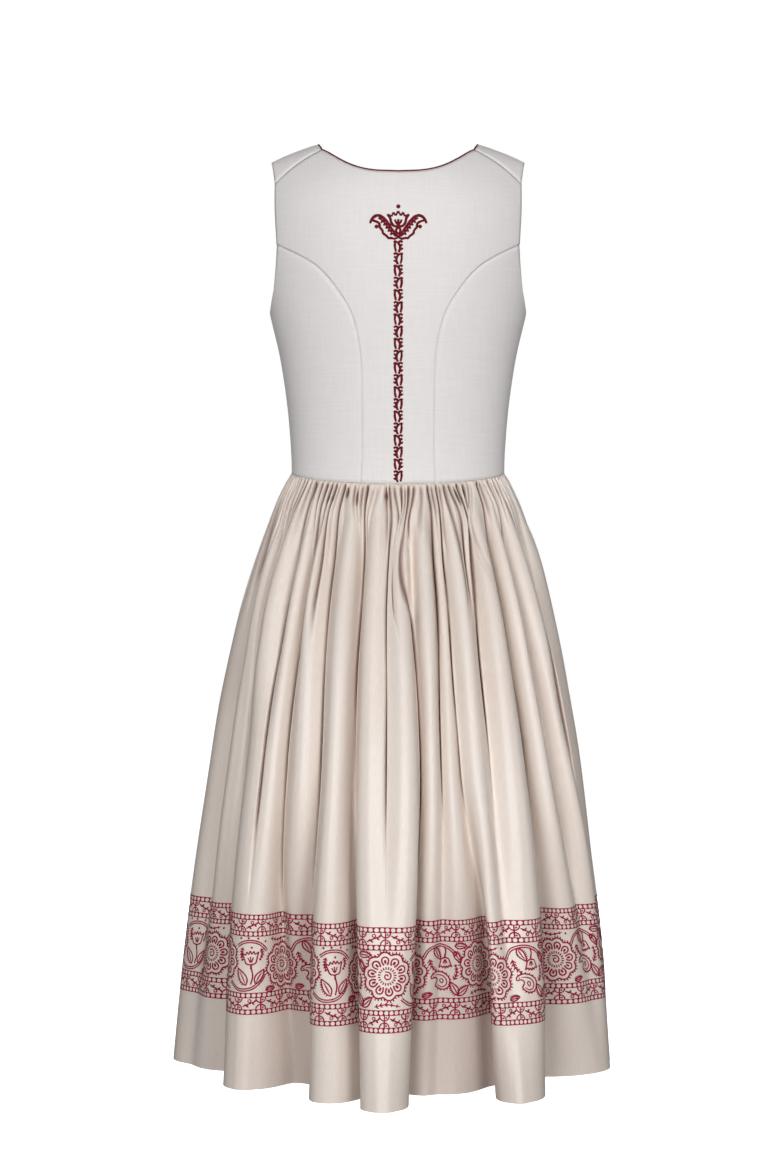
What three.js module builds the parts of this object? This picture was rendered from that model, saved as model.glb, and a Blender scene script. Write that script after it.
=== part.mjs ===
// Sleeveless dirndl: a princess-seamed bodice and a full gathered skirt, worn open over nobody.
// Millimetres, +Z up. The back faces +Y and the front faces -Y.
// The origin is midway between the shoulders, at the height of the neck points.
import * as THREE from 'three';

// ---- driving sizes -------------------------------------------------------------------------
const bodiceWall = 1.6;      // linen with its backing
const skirtWall = 1.2;       // heavy satin
const seamGap = 0.3;         // clearance between two pieces at a seam
const pipingRadius = 1.1;
const pipingSides = 6;
const shoulderSpan = 150;    // where the drop of a shoulder is measured, from the middle
const hemHeight = -1103;
const waist = { side: -392, dip: 14 };            // the waist seam dips at the centre back and front

// How many mesh steps lie along each seam. Pieces that share a seam share its steps.
const steps = {
  princess: 12,
  backArmhole: 4,
  shoulder: 4,
  backNeck: 6,
  underarm: 5,
  centreFront: 9,
  frontNeck: 9,
  skirtColumns: 66,
};

// ---- the figure that the bodice is cut for --------------------------------------------------
// Rows run up the back, over the shoulder ridge and down the front.
// height is at the middle, drop is how much lower the row lies at the shoulder, halfWidth is
// the half width at the side, and depth is how far the middle lies behind (+) the shoulder line.
const figure = [
  { name: 'back below waist', height: -430, drop: 0, halfWidth: 129, depth: 87 },
  { name: 'back waist', height: -396, drop: 0, halfWidth: 127.5, depth: 85 },
  { name: 'back small', height: -362, drop: 0, halfWidth: 128.5, depth: 86 },
  { name: 'back ribs', height: -310, drop: 0, halfWidth: 133, depth: 92 },
  { name: 'back chest', height: -254, drop: 0, halfWidth: 141.5, depth: 99 },
  { name: 'back underarm', height: -204, drop: 0, halfWidth: 153, depth: 105 },
  { name: 'back blades', height: -152, drop: 4, halfWidth: 161, depth: 108 },
  { name: 'upper back', height: -105, drop: 12, halfWidth: 164, depth: 106 },
  { name: 'back neck', height: -62, drop: 24, halfWidth: 166, depth: 98 },
  { name: 'behind shoulder', height: -28, drop: 34, halfWidth: 167, depth: 78 },
  { name: 'shoulder slope', height: 1, drop: 34, halfWidth: 168, depth: 42 },
  { name: 'shoulder ridge', height: 11, drop: 33, halfWidth: 169, depth: 2 },
  { name: 'before shoulder', height: 3, drop: 33, halfWidth: 168, depth: -34 },
  { name: 'front shoulder', height: -25, drop: 32, halfWidth: 167, depth: -64 },
  { name: 'collar bones', height: -62, drop: 24, halfWidth: 165, depth: -88 },
  { name: 'upper chest', height: -105, drop: 12, halfWidth: 162, depth: -108 },
  { name: 'over bust', height: -152, drop: 4, halfWidth: 160, depth: -124 },
  { name: 'front bust', height: -204, drop: 0, halfWidth: 153, depth: -131 },
  { name: 'front chest', height: -254, drop: 0, halfWidth: 141.5, depth: -126 },
  { name: 'front ribs', height: -310, drop: 0, halfWidth: 133, depth: -113 },
  { name: 'front small', height: -362, drop: 0, halfWidth: 128.5, depth: -103 },
  { name: 'front waist', height: -396, drop: 0, halfWidth: 127.5, depth: -99 },
  { name: 'front below waist', height: -430, drop: 0, halfWidth: 129, depth: -99 },
];
const ridgeRow = figure.findIndex((row) => row.name === 'shoulder ridge');
const dropPower = 2.2;

// Fullness that the seams give beyond the plain oval: two cups in front, two blades behind.
const fullness = [
  { name: 'cup', side: -1, across: 80, height: -208, width: 46, tall: 52, rise: 13 },
  { name: 'blade', side: 1, across: 74, height: -120, width: 42, tall: 60, rise: 4 },
];

// ---- seams and edges -------------------------------------------------------------------------
// side is 1 on the back, -1 on the front and 0 on the shoulder ridge. A place is given by its
// distance across from the middle, or by its degrees round from the middle, and by its height.
const backPrincess = [
  { side: 1, across: 43, height: -405 },
  { side: 1, across: 41.5, height: -330 },
  { side: 1, across: 43, height: -262 },
  { side: 1, across: 51, height: -217 },
  { side: 1, across: 67, height: -186 },
  { side: 1, across: 99, height: -150 },
  { side: 1, across: 143.5, height: -124.5 },
];
const backArmhole = [
  { side: 1, across: 143.5, height: -124.5 },
  { side: 1, across: 145.5, height: -86 },
  { side: 1, across: 146, height: -52 },
];
const shoulderSeam = [
  { side: 1, across: 146, height: -52 },
  { side: 1, across: 91, height: -12 },
];
const backNeck = [
  { side: 1, across: 91, height: -12 },
  { side: 1, across: 71, height: -25.5 },
  { side: 1, across: 50, height: -37 },
  { side: 1, across: 28, height: -42.5 },
  { side: 1, across: 0, height: -44 },
];
const underarmBack = [
  { side: 1, across: 143.5, height: -124.5 },
  { side: 1, round: 64, height: -150 },
  { side: 1, round: 69.5, height: -176 },
  { side: 1, round: 78, height: -193 },
  { side: 1, round: 84, height: -198.5 },
  { side: 1, round: 90, height: -200 },
];
const underarmFront = [
  { side: -1, across: 136, height: -122 },
  { side: -1, round: 60.5, height: -150 },
  { side: -1, round: 68, height: -178 },
  { side: -1, round: 77, height: -194 },
  { side: -1, round: 84, height: -198.8 },
  { side: -1, round: 90, height: -200 },
];
const frontPrincess = [
  { side: -1, across: 50, height: -405 },
  { side: -1, across: 55, height: -340 },
  { side: -1, across: 67, height: -270 },
  { side: -1, across: 84, height: -205 },
  { side: -1, across: 106, height: -155 },
  { side: -1, across: 136, height: -122 },
];
const frontArmhole = [
  { side: -1, across: 136, height: -122 },
  { side: -1, across: 140, height: -70 },
  { side: 0, across: 151, height: 0 },
  { side: 1, across: 146, height: -52 },
];
const centreFront = [
  { side: -1, across: 0, height: -405 },
  { side: -1, across: 0, height: -148 },
];
const frontNeck = [
  { side: -1, across: 0, height: -148 },
  { side: -1, across: 42, height: -139 },
  { side: -1, across: 74, height: -108 },
  { side: -1, across: 88, height: -60 },
  { side: 0, across: 96, height: 0 },
  { side: 1, across: 91, height: -12 },
];
const sideSeam = [
  { round: 90, height: -392 },
  { round: 90, height: -200 },
];

// ---- the skirt -------------------------------------------------------------------------------
// The outer envelope: half width, half depth, and how far its middle lies behind the shoulders.
const skirtSections = [
  { height: -391, halfWidth: 130, halfDepth: 94, middle: -7 },
  { height: -411, halfWidth: 140, halfDepth: 104, middle: -6 },
  { height: -426, halfWidth: 147, halfDepth: 112, middle: -5 },
  { height: -456, halfWidth: 158, halfDepth: 127, middle: -4 },
  { height: -486, halfWidth: 168, halfDepth: 143, middle: -3 },
  { height: -546, halfWidth: 186, halfDepth: 170, middle: -1 },
  { height: -606, halfWidth: 200, halfDepth: 192, middle: 0 },
  { height: -666, halfWidth: 212, halfDepth: 210, middle: 0 },
  { height: -726, halfWidth: 222, halfDepth: 225, middle: 0 },
  { height: -846, halfWidth: 239, halfDepth: 247, middle: 0 },
  { height: -966, halfWidth: 252, halfDepth: 259, middle: 0 },
  { height: -1103, halfWidth: 264, halfDepth: 264, middle: 0 },
];
const skirtLevels = [-405, -436, -476, -526, -586, -656, -736, -826, -921, -1014, hemHeight];
const foldLevels = { upper: -515, middle: -726, hem: hemHeight };
const foldsFull = -480;       // above this height the folds close up towards the waist seam
const waistSoftening = 0.2;  // how much of a fold's depth is left right under the waist seam
const upperDepth = 1.5;      // how much deeper the table's folds run at the upper level
const foldLean = 0.4;        // how far the folds lie over towards the sides of the skirt

// Ridges and troughs of the large folds, from the seam on the wearer's left round the back.
// turn is degrees from the centre back towards the wearer's right, and out is the share of the
// envelope's reach, each at the upper, middle and hem level.
const backFolds = [
  { name: 'left seam', turn: [-103, -103, -107], out: [0.93, 0.90, 0.80] },
  { name: 'left side', turn: [-84, -85, -93], out: [1.00, 1.012, 1.035] },
  { name: 'left side dent', turn: [-73, -74, -85], out: [0.94, 0.92, 0.94] },
  { name: 'left quarter', turn: [-67, -63, -80], out: [0.98, 0.95, 0.90] },
  { name: 'left quarter trough', turn: [-63, -59, -72], out: [0.93, 0.88, 0.76] },
  { name: 'broad left', turn: [-53, -49, -53], out: [1.00, 1.00, 0.92] },
  { name: 'broad left dent', turn: [-46, -45, -50], out: [0.93, 0.985, 0.91] },
  { name: 'broad left return', turn: [-42, -41, -47], out: [0.98, 0.97, 0.84] },
  { name: 'left blade trough', turn: [-38, -38, -45], out: [0.92, 0.89, 0.64] },
  { name: 'left blade', turn: [-33, -31, -42], out: [1.00, 0.96, 0.62] },
  { name: 'left inner trough', turn: [-27.5, -25, -37], out: [0.93, 0.89, 0.62] },
  { name: 'left inner', turn: [-20, -19, -20], out: [1.00, 1.00, 0.89] },
  { name: 'deep left', turn: [-15, -14, -9], out: [0.90, 0.85, 0.73] },
  { name: 'middle left', turn: [-9, -9.5, -7.5], out: [1.00, 1.00, 0.99] },
  { name: 'middle dent', turn: [-4, -3.5, -4], out: [0.975, 0.985, 1.01] },
  { name: 'middle right', turn: [1, 3, 0], out: [1.01, 1.02, 0.97] },
  { name: 'sharp right', turn: [5.5, 7, 2], out: [0.92, 0.88, 0.66] },
  { name: 'right inner', turn: [10, 10, 9], out: [1.00, 0.96, 0.70] },
  { name: 'right inner trough', turn: [15, 13.5, 14], out: [0.91, 0.90, 0.69] },
  { name: 'right strip', turn: [17, 16, 20], out: [0.94, 0.94, 0.71] },
  { name: 'right blade trough', turn: [18.5, 19.5, 41], out: [0.93, 0.91, 0.66] },
  { name: 'right blade', turn: [23, 24, 30], out: [1.00, 0.97, 0.96] },
  { name: 'right blade dent', turn: [30, 30, 31.5], out: [0.92, 0.90, 0.99] },
  { name: 'right quarter', turn: [36, 37, 35], out: [1.00, 0.99, 0.99] },
  { name: 'right quarter trough', turn: [43.5, 46, 60], out: [0.91, 0.86, 0.69] },
  { name: 'right flank', turn: [47, 49.5, 71], out: [0.99, 0.96, 0.88] },
  { name: 'right flank dent', turn: [52, 57, 76], out: [0.90, 0.90, 0.94] },
  { name: 'right side', turn: [59, 62, 81], out: [1.00, 1.00, 0.97] },
  { name: 'right side dent', turn: [69, 70, 87], out: [0.93, 0.90, 0.955] },
  { name: 'right edge', turn: [80, 82, 93], out: [0.995, 0.99, 0.975] },
  { name: 'right seam', turn: [98, 100, 105], out: [0.93, 0.88, 0.80] },
];

// The front hangs in like folds, read the other way round and a little uneven.
const frontShare = [0.786, 0.774, 0.7];
const frontUnevenness = { turn: 1.6, out: 0.02, pitch: 2.4 };

// ---- small helpers -----------------------------------------------------------------------------
const radians = THREE.MathUtils.degToRad;

function hermite(from, to, slopeFrom, slopeTo, t) {
  const t2 = t * t;
  const t3 = t2 * t;
  return from * (2 * t3 - 3 * t2 + 1) + slopeFrom * (t3 - 2 * t2 + t)
    + to * (3 * t2 - 2 * t3) + slopeTo * (t3 - t2);
}

// One column of a table, read smoothly at a place between its rows.
function readColumn(table, key, column, place) {
  const at = (index) => table[Math.min(table.length - 1, Math.max(0, index))];
  const rising = key(1) > key(0);
  let index = 0;
  while (index < table.length - 2 && (rising ? place > key(index + 1) : place < key(index + 1))) {
    index += 1;
  }
  const slope = (row) => {
    const before = Math.max(0, row - 1);
    const after = Math.min(table.length - 1, row + 1);
    return (at(after)[column] - at(before)[column]) / (key(after) - key(before));
  };
  const span = key(index + 1) - key(index);
  const t = (place - key(index)) / span;
  return hermite(at(index)[column], at(index + 1)[column], slope(index) * span, slope(index + 1) * span, t);
}

function figureAt(row) {
  const read = (column) => readColumn(figure, (index) => index, column, row);
  return { height: read('height'), drop: read('drop'), halfWidth: read('halfWidth'), depth: read('depth') };
}

function fullnessAt(x, z, side) {
  let total = 0;
  for (const form of fullness) {
    if (form.side !== side) continue;
    const across = (Math.abs(x) - form.across) / form.width;
    const up = (z - form.height) / form.tall;
    total += form.side * form.rise * Math.exp(-across * across - up * up);
  }
  return total;
}

// A point of the figure: turn is radians from the middle towards the wearer's right.
function bodyPoint(turn, row) {
  const level = figureAt(row);
  const x = -level.halfWidth * Math.sin(turn);
  const z = level.height - level.drop * (Math.abs(x) / shoulderSpan) ** dropPower;
  const side = Math.sign(ridgeRow - row);
  const ease = Math.min(1, Math.abs(ridgeRow - row) / 3) * Math.cos(turn);
  const y = level.depth * Math.cos(turn) + ease * fullnessAt(x, z, side);
  return new THREE.Vector3(x, y, z);
}

function bodyNormal(turn, row) {
  const reach = 1e-3;
  const overTurn = bodyPoint(turn + reach, row).sub(bodyPoint(turn - reach, row));
  const overRow = bodyPoint(turn, row + reach).sub(bodyPoint(turn, row - reach));
  return overTurn.cross(overRow).normalize();
}

// Turns a seam table's place into the figure's own turn and row.
function locate(place) {
  const turnAt = (row) => {
    if (place.round !== undefined) return radians(place.round);
    return Math.asin(Math.min(1, place.across / figureAt(row).halfWidth));
  };
  if (place.side === 0) return { turn: turnAt(ridgeRow), row: ridgeRow };
  let low = place.side > 0 ? 0 : figure.length - 1;
  let high = ridgeRow;
  for (let round = 0; round < 40; round += 1) {
    const middle = (low + high) / 2;
    if (bodyPoint(turnAt(middle), middle).z < place.height) low = middle;
    else high = middle;
  }
  const row = (low + high) / 2;
  return { turn: turnAt(row), row };
}

// A seam's table as evenly spaced places on the figure.
function seam(table, count) {
  const knots = table.map(locate).map((place) => new THREE.Vector2(place.turn, place.row));
  const curve = new THREE.SplineCurve(knots);
  const fine = 40 * count;
  const walked = [0];
  const places = [];
  for (let step = 0; step <= fine; step += 1) {
    const place = curve.getPoint(step / fine);
    places.push({ turn: place.x, row: place.y });
  }
  const points = places.map((place) => bodyPoint(place.turn, place.row));
  for (let step = 1; step <= fine; step += 1) {
    walked.push(walked[step - 1] + points[step].distanceTo(points[step - 1]));
  }
  const result = [];
  let step = 0;
  for (let stop = 0; stop <= count; stop += 1) {
    const target = walked[fine] * stop / count;
    while (step < fine - 1 && walked[step + 1] < target) step += 1;
    const t = (target - walked[step]) / (walked[step + 1] - walked[step]);
    result.push({
      turn: THREE.MathUtils.lerp(places[step].turn, places[step + 1].turn, t),
      row: THREE.MathUtils.lerp(places[step].row, places[step + 1].row, t),
    });
  }
  return result;
}

// The waist seam between two places, following its dip.
function waistSeam(fromTurn, toTurn, side, count) {
  const result = [];
  for (let stop = 0; stop <= count; stop += 1) {
    const turn = THREE.MathUtils.lerp(fromTurn, toTurn, stop / count);
    result.push({ turn, row: waistRow(turn, side) });
  }
  return result;
}

function waistRow(turn, side) {
  const target = waist.side - waist.dip * Math.cos(turn);
  let low = side > 0 ? 0 : figure.length - 1;
  let high = side > 0 ? 3 : figure.length - 4;
  for (let round = 0; round < 40; round += 1) {
    const middle = (low + high) / 2;
    if (bodyPoint(turn, middle).z < target) low = middle;
    else high = middle;
  }
  return (low + high) / 2;
}

const mirrored = (places) => places.map((place) => ({ turn: -place.turn, row: place.row }));
const joined = (first, second) => first.concat(second.slice(1));
const reversed = (places) => places.slice().reverse();

// Starts a seam on the waist seam exactly.
function fromWaist(table, count, side) {
  const start = locate(table[0]);
  const places = seam(table, count);
  const shift = waistRow(start.turn, side) - places[0].row;
  return places.map((place, index) => ({
    turn: place.turn,
    row: place.row + shift * (1 - index / count) ** 2,
  }));
}

// Fills a panel between its four edges: bottom and top run along, left and right run up.
function fillPanel(bottom, top, left, right) {
  const columns = bottom.length - 1;
  const rows = left.length - 1;
  const grid = [];
  for (let i = 0; i <= rows; i += 1) {
    const b = i / rows;
    const low = (1 - b) ** 3;
    const high = b ** 3;
    const line = [];
    for (let j = 0; j <= columns; j += 1) {
      const a = j / columns;
      const mix = (name) => {
        const ruled = left[i][name] * (1 - a) + right[i][name] * a;
        const ruledBottom = left[0][name] * (1 - a) + right[0][name] * a;
        const ruledTop = left[rows][name] * (1 - a) + right[rows][name] * a;
        return ruled + low * (bottom[j][name] - ruledBottom) + high * (top[j][name] - ruledTop);
      };
      line.push({ turn: mix('turn'), row: mix('row') });
    }
    grid.push(line);
  }
  return grid;
}

// ---- solids from grids ---------------------------------------------------------------------------
// Draws the edge of a grid of points back from its seams by half of the clearance.
function drawBack(points, normals, distance) {
  const rows = points.length - 1;
  const columns = points[0].length - 1;
  const moved = points.map((line) => line.map((point) => point.clone()));
  const shift = (i, j, before, after, inner) => {
    const along = after.clone().sub(before).normalize();
    const inward = normals[i][j].clone().cross(along).normalize();
    if (inward.dot(inner.clone().sub(points[i][j])) < 0) inward.negate();
    moved[i][j].addScaledVector(inward, distance);
  };
  for (let i = 0; i <= rows; i += 1) {
    const down = Math.max(0, i - 1);
    const up = Math.min(rows, i + 1);
    shift(i, 0, points[down][0], points[up][0], points[i][1]);
    shift(i, columns, points[down][columns], points[up][columns], points[i][columns - 1]);
  }
  for (let j = 0; j <= columns; j += 1) {
    const back = Math.max(0, j - 1);
    const on = Math.min(columns, j + 1);
    shift(0, j, points[0][back], points[0][on], points[1][j]);
    shift(rows, j, points[rows][back], points[rows][on], points[rows - 1][j]);
  }
  return moved;
}

// A closed wall whose outer face is the grid and whose inner face lies inside it.
function wallGeometry(outer, normals, thickness) {
  const rows = outer.length;
  const columns = outer[0].length;
  const positions = [];
  for (const depth of [0, thickness]) {
    outer.forEach((line, i) => line.forEach((point, j) => {
      const placed = point.clone().addScaledVector(normals[i][j], -depth);
      positions.push(placed.x, placed.y, placed.z);
    }));
  }
  const outside = (i, j) => i * columns + j;
  const inside = (i, j) => rows * columns + i * columns + j;
  const faces = [];
  const quad = (a, b, c, d) => faces.push(a, b, c, a, c, d);
  for (let i = 0; i < rows - 1; i += 1) {
    for (let j = 0; j < columns - 1; j += 1) {
      quad(outside(i, j), outside(i, j + 1), outside(i + 1, j + 1), outside(i + 1, j));
      quad(inside(i, j), inside(i + 1, j), inside(i + 1, j + 1), inside(i, j + 1));
    }
    quad(outside(i, 0), outside(i + 1, 0), inside(i + 1, 0), inside(i, 0));
    quad(outside(i, columns - 1), inside(i, columns - 1), inside(i + 1, columns - 1), outside(i + 1, columns - 1));
  }
  for (let j = 0; j < columns - 1; j += 1) {
    quad(outside(0, j), inside(0, j), inside(0, j + 1), outside(0, j + 1));
    quad(outside(rows - 1, j), outside(rows - 1, j + 1), inside(rows - 1, j + 1), inside(rows - 1, j));
  }
  return closedGeometry(positions, faces);
}

// Turns the faces outward where the volume says that they face in.
function closedGeometry(positions, faces) {
  const corner = (index) => new THREE.Vector3().fromArray(positions, index * 3);
  let volume = 0;
  for (let face = 0; face < faces.length; face += 3) {
    const [a, b, c] = [faces[face], faces[face + 1], faces[face + 2]].map(corner);
    volume += a.dot(b.cross(c)) / 6;
  }
  if (volume < 0) {
    for (let face = 0; face < faces.length; face += 3) {
      [faces[face + 1], faces[face + 2]] = [faces[face + 2], faces[face + 1]];
    }
  }
  const geometry = new THREE.BufferGeometry();
  geometry.setAttribute('position', new THREE.Float32BufferAttribute(positions, 3));
  geometry.setIndex(faces);
  geometry.computeVertexNormals();
  return geometry;
}

// Normals of a grid of points, facing away from the garment's upright middle line.
function gridNormals(points) {
  const rows = points.length - 1;
  const columns = points[0].length - 1;
  return points.map((line, i) => line.map((point, j) => {
    const along = points[i][Math.min(columns, j + 1)].clone().sub(points[i][Math.max(0, j - 1)]);
    const down = points[Math.min(rows, i + 1)][j].clone().sub(points[Math.max(0, i - 1)][j]);
    return down.cross(along).normalize();
  }));
}

function bodicePanel(grid) {
  const points = grid.map((line) => line.map((place) => bodyPoint(place.turn, place.row)));
  const normals = grid.map((line) => line.map((place) => bodyNormal(place.turn, place.row)));
  return wallGeometry(drawBack(points, normals, seamGap / 2), normals, bodiceWall);
}

// ---- bodice pieces -----------------------------------------------------------------------------------
function bodiceSeams() {
  return {
    backPrincess: fromWaist(backPrincess, steps.princess, 1),
    backArmhole: seam(backArmhole, steps.backArmhole),
    shoulder: seam(shoulderSeam, steps.shoulder),
    backNeck: seam(backNeck, steps.backNeck / 2),
    underarmBack: seam(underarmBack, steps.underarm),
    underarmFront: seam(underarmFront, steps.underarm),
    sideBack: fromWaist(sideSeam.map((place) => ({ side: 1, ...place })), steps.princess, 1),
    sideFront: fromWaist(sideSeam.map((place) => ({ side: -1, ...place })), steps.princess, -1),
    frontPrincess: fromWaist(frontPrincess, steps.princess, -1),
    centreFront: fromWaist(centreFront, steps.centreFront, -1),
    frontNeck: seam(frontNeck, steps.frontNeck),
    frontArmhole: seam(frontArmhole, steps.centreFront + steps.frontNeck - steps.princess),
  };
}

function centreBack(seams) {
  const right = joined(seams.backPrincess, seams.backArmhole);
  const halfTop = joined(seams.shoulder, seams.backNeck);
  const top = joined(mirrored(halfTop), reversed(halfTop));
  const edge = seams.backPrincess[0].turn;
  const bottom = waistSeam(-edge, edge, 1, top.length - 1);
  return bodicePanel(fillPanel(bottom, top, mirrored(right), right));
}

function sideBack(seams, flip) {
  const left = seams.backPrincess;
  const right = seams.sideBack;
  const bottom = waistSeam(left[0].turn, Math.PI / 2, 1, steps.underarm);
  const edges = [bottom, seams.underarmBack, left, right];
  return bodicePanel(fillPanel(...edges.map((places) => (flip ? mirrored(places) : places))));
}

function sideFront(seams, flip) {
  const left = seams.frontPrincess;
  const right = seams.sideFront;
  const bottom = waistSeam(left[0].turn, Math.PI / 2, -1, steps.underarm);
  const edges = [bottom, seams.underarmFront, left, right];
  return bodicePanel(fillPanel(...edges.map((places) => (flip ? mirrored(places) : places))));
}

function front(seams, flip) {
  const inner = joined(seams.centreFront, seams.frontNeck);
  const outer = joined(seams.frontPrincess, seams.frontArmhole);
  const top = reversed(seams.shoulder);
  const bottom = waistSeam(0, outer[0].turn, -1, steps.shoulder);
  const edges = [bottom, top, inner, outer];
  return bodicePanel(fillPanel(...edges.map((places) => (flip ? mirrored(places) : places))));
}

// The piping is a six-sided cord along the whole neck edge, open at the centre front.
function neckPiping(seams) {
  const half = joined(seams.frontNeck, seams.backNeck);
  const loop = joined(half, mirrored(reversed(half)));
  const points = loop.map((place) => bodyPoint(place.turn, place.row));
  const normals = loop.map((place) => bodyNormal(place.turn, place.row));
  const positions = [];
  const faces = [];
  const last = points.length - 1;
  points.forEach((point, i) => {
    const before = points[Math.max(0, i - 1)];
    const after = points[Math.min(last, i + 1)];
    const along = after.clone().sub(before).normalize();
    const outward = along.clone().cross(normals[i]).normalize();
    const centre = point.clone()
      .addScaledVector(normals[i], -bodiceWall / 2)
      .addScaledVector(outward, seamGap / 2 + pipingRadius);
    if (i === 0) centre.x -= seamGap / 2;
    if (i === last) centre.x += seamGap / 2;
    for (let k = 0; k < pipingSides; k += 1) {
      const angle = (k + 0.5) * 2 * Math.PI / pipingSides;
      const corner = centre.clone()
        .addScaledVector(outward, pipingRadius * Math.cos(angle))
        .addScaledVector(normals[i], pipingRadius * Math.sin(angle));
      positions.push(corner.x, corner.y, corner.z);
    }
  });
  for (let i = 0; i < last; i += 1) {
    for (let k = 0; k < pipingSides; k += 1) {
      const next = (k + 1) % pipingSides;
      const [a, b] = [i * pipingSides + k, i * pipingSides + next];
      faces.push(a, b, b + pipingSides, a, b + pipingSides, a + pipingSides);
    }
  }
  for (let k = 1; k < pipingSides - 1; k += 1) {
    const end = last * pipingSides;
    faces.push(0, k + 1, k, end, end + k, end + k + 1);
  }
  return closedGeometry(positions, faces);
}

// ---- skirt pieces ------------------------------------------------------------------------------------
// A fold line's value at a height, eased between the three levels of its table.
function foldValue(values, height) {
  const [upper, middle, hem] = values;
  if (height >= foldLevels.upper) return upper;
  const first = (middle - upper) / (foldLevels.upper - foldLevels.middle);
  const second = (hem - middle) / (foldLevels.middle - foldLevels.hem);
  const slope = first * second > 0 ? 2 * first * second / (first + second) : 0;
  if (height >= foldLevels.middle) {
    const span = foldLevels.upper - foldLevels.middle;
    return hermite(upper, middle, 0, slope * span, (foldLevels.upper - height) / span);
  }
  const span = foldLevels.middle - foldLevels.hem;
  return hermite(middle, hem, slope * span, second * 0.4 * span, (foldLevels.middle - height) / span);
}

function skirtSection(height) {
  const read = (column) => readColumn(skirtSections, (index) => skirtSections[index].height, column, height);
  return { halfWidth: read('halfWidth'), halfDepth: read('halfDepth'), middle: read('middle') };
}

// Which way a trough runs in from a place on the outline. Above the hem the folds lie over
// towards the sides of the skirt.
function troughWay(place, height) {
  const lean = foldLean * THREE.MathUtils.smoothstep(height, foldLevels.hem, foldLevels.middle);
  const over = lean * Math.tanh(3 * place.y / place.length()) * Math.abs(place.x);
  return new THREE.Vector2(-place.x * (1 - lean), -place.y - over);
}

// The plan points of all fold lines at one height, with the way the cloth runs through each.
// A ridge runs broad and a trough pinches in, as satin folds do.
function foldPoints(folds, height) {
  const section = skirtSection(height);
  const near = THREE.MathUtils.smoothstep(height, foldsFull, waist.side);
  const upper = THREE.MathUtils.smoothstep(height, foldLevels.middle, foldLevels.upper);
  const deepen = THREE.MathUtils.lerp(1, upperDepth, upper) * (1 - near * (1 - waistSoftening));
  const outs = folds.map((fold) => foldValue(fold.out, height));
  const last = folds.length - 1;
  const middle = new THREE.Vector2(0, section.middle);
  const rounds = [];
  const points = folds.map((fold, index) => {
    const turn = radians(foldValue(fold.turn, height));
    const place = new THREE.Vector2(-section.halfWidth * Math.sin(turn), section.halfDepth * Math.cos(turn));
    rounds.push(new THREE.Vector2(-section.halfWidth * Math.cos(turn), -section.halfDepth * Math.sin(turn)));
    const inwards = troughWay(place, height).multiplyScalar((1 - outs[index]) * deepen);
    return place.add(inwards).add(middle);
  });
  return points.map((point, index) => {
    const [before, after] = [Math.max(0, index - 1), Math.min(last, index + 1)];
    const flow = 1 + 0.42 * Math.tanh((outs[index] - (outs[before] + outs[after]) / 2) / 0.04);
    const round = index > before && index < after
      ? throughPoint(points[before], point, points[after])
      : rounds[index].normalize();
    return { point, round: round.multiplyScalar(flow) };
  });
}

// The way a smooth curve runs through the middle one of three points.
function throughPoint(before, point, after) {
  const behind = point.clone().sub(before);
  const ahead = after.clone().sub(point);
  const [reach, back] = [ahead.length(), behind.length()];
  return behind.multiplyScalar(reach / back).add(ahead.multiplyScalar(back / reach)).normalize();
}

// A point between two fold lines.
function betweenFolds(from, to, t) {
  const pull = from.point.distanceTo(to.point);
  return new THREE.Vector2(
    hermite(from.point.x, to.point.x, from.round.x * pull, to.round.x * pull, t),
    hermite(from.point.y, to.point.y, from.round.y * pull, to.round.y * pull, t),
  );
}

// Shares the columns out among the folds by the cloth that each takes up near the hem.
function columnPlan(folds) {
  const lines = foldPoints(folds, foldLevels.hem + 120);
  const lengths = [];
  for (let k = 0; k < lines.length - 1; k += 1) {
    let length = 0;
    for (let step = 0; step < 12; step += 1) {
      const from = betweenFolds(lines[k], lines[k + 1], step / 12);
      length += from.distanceTo(betweenFolds(lines[k], lines[k + 1], (step + 1) / 12));
    }
    lengths.push(length);
  }
  const total = lengths.reduce((sum, length) => sum + length, 0);
  const spare = steps.skirtColumns - lengths.length;
  const plan = [];
  let given = 0;
  let walked = 0;
  lengths.forEach((length, k) => {
    walked += length;
    const upTo = Math.round(spare * walked / total);
    const count = 1 + upTo - given;
    given = upTo;
    for (let step = 0; step < count; step += 1) plan.push({ fold: k, t: step / count });
  });
  plan.push({ fold: lengths.length - 1, t: 1 });
  return plan;
}

function skirtPiece(folds) {
  const plan = columnPlan(folds);
  const points = skirtLevels.map((level, row) => {
    const lines = foldPoints(folds, level);
    return plan.map(({ fold, t }) => {
      const place = betweenFolds(lines[fold], lines[fold + 1], t);
      const dip = waist.side - waist.dip * Math.abs(Math.cos(Math.atan2(place.x, place.y)));
      return new THREE.Vector3(place.x, place.y, row === 0 ? dip : level);
    });
  });
  fitToWaist(points[0]);
  const normals = gridNormals(points);
  return wallGeometry(drawBack(points, normals, seamGap / 2), normals, skirtWall);
}

// Seats the top row on the bodice's own outline at the waist seam.
function fitToWaist(line) {
  for (const point of line) {
    const level = figureAt(waistRow(Math.PI / 2, 1));
    const depth = Math.abs(figureAt(waistRow(0, Math.sign(point.y) || 1)).depth);
    const turn = Math.atan2(-point.x / level.halfWidth, Math.abs(point.y) / depth);
    const seat = bodyPoint(turn, waistRow(turn, point.y < 0 ? -1 : 1));
    point.copy(seat);
  }
}

function frontFolds() {
  return backFolds.slice().reverse().map((fold, index) => {
    const sway = Math.sin(index * frontUnevenness.pitch);
    const inside = index > 0 && index < backFolds.length - 1 ? 1 : 0;
    const turn = fold.turn.map((value, level) => {
      if (!inside) return value > 0 ? value : value + 360;
      return 180 - value * frontShare[level] + sway * frontUnevenness.turn;
    });
    const out = fold.out.map((value) => value + inside * sway * frontUnevenness.out * (1 - value) * 4);
    return { name: fold.name, turn, out };
  });
}

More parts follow.
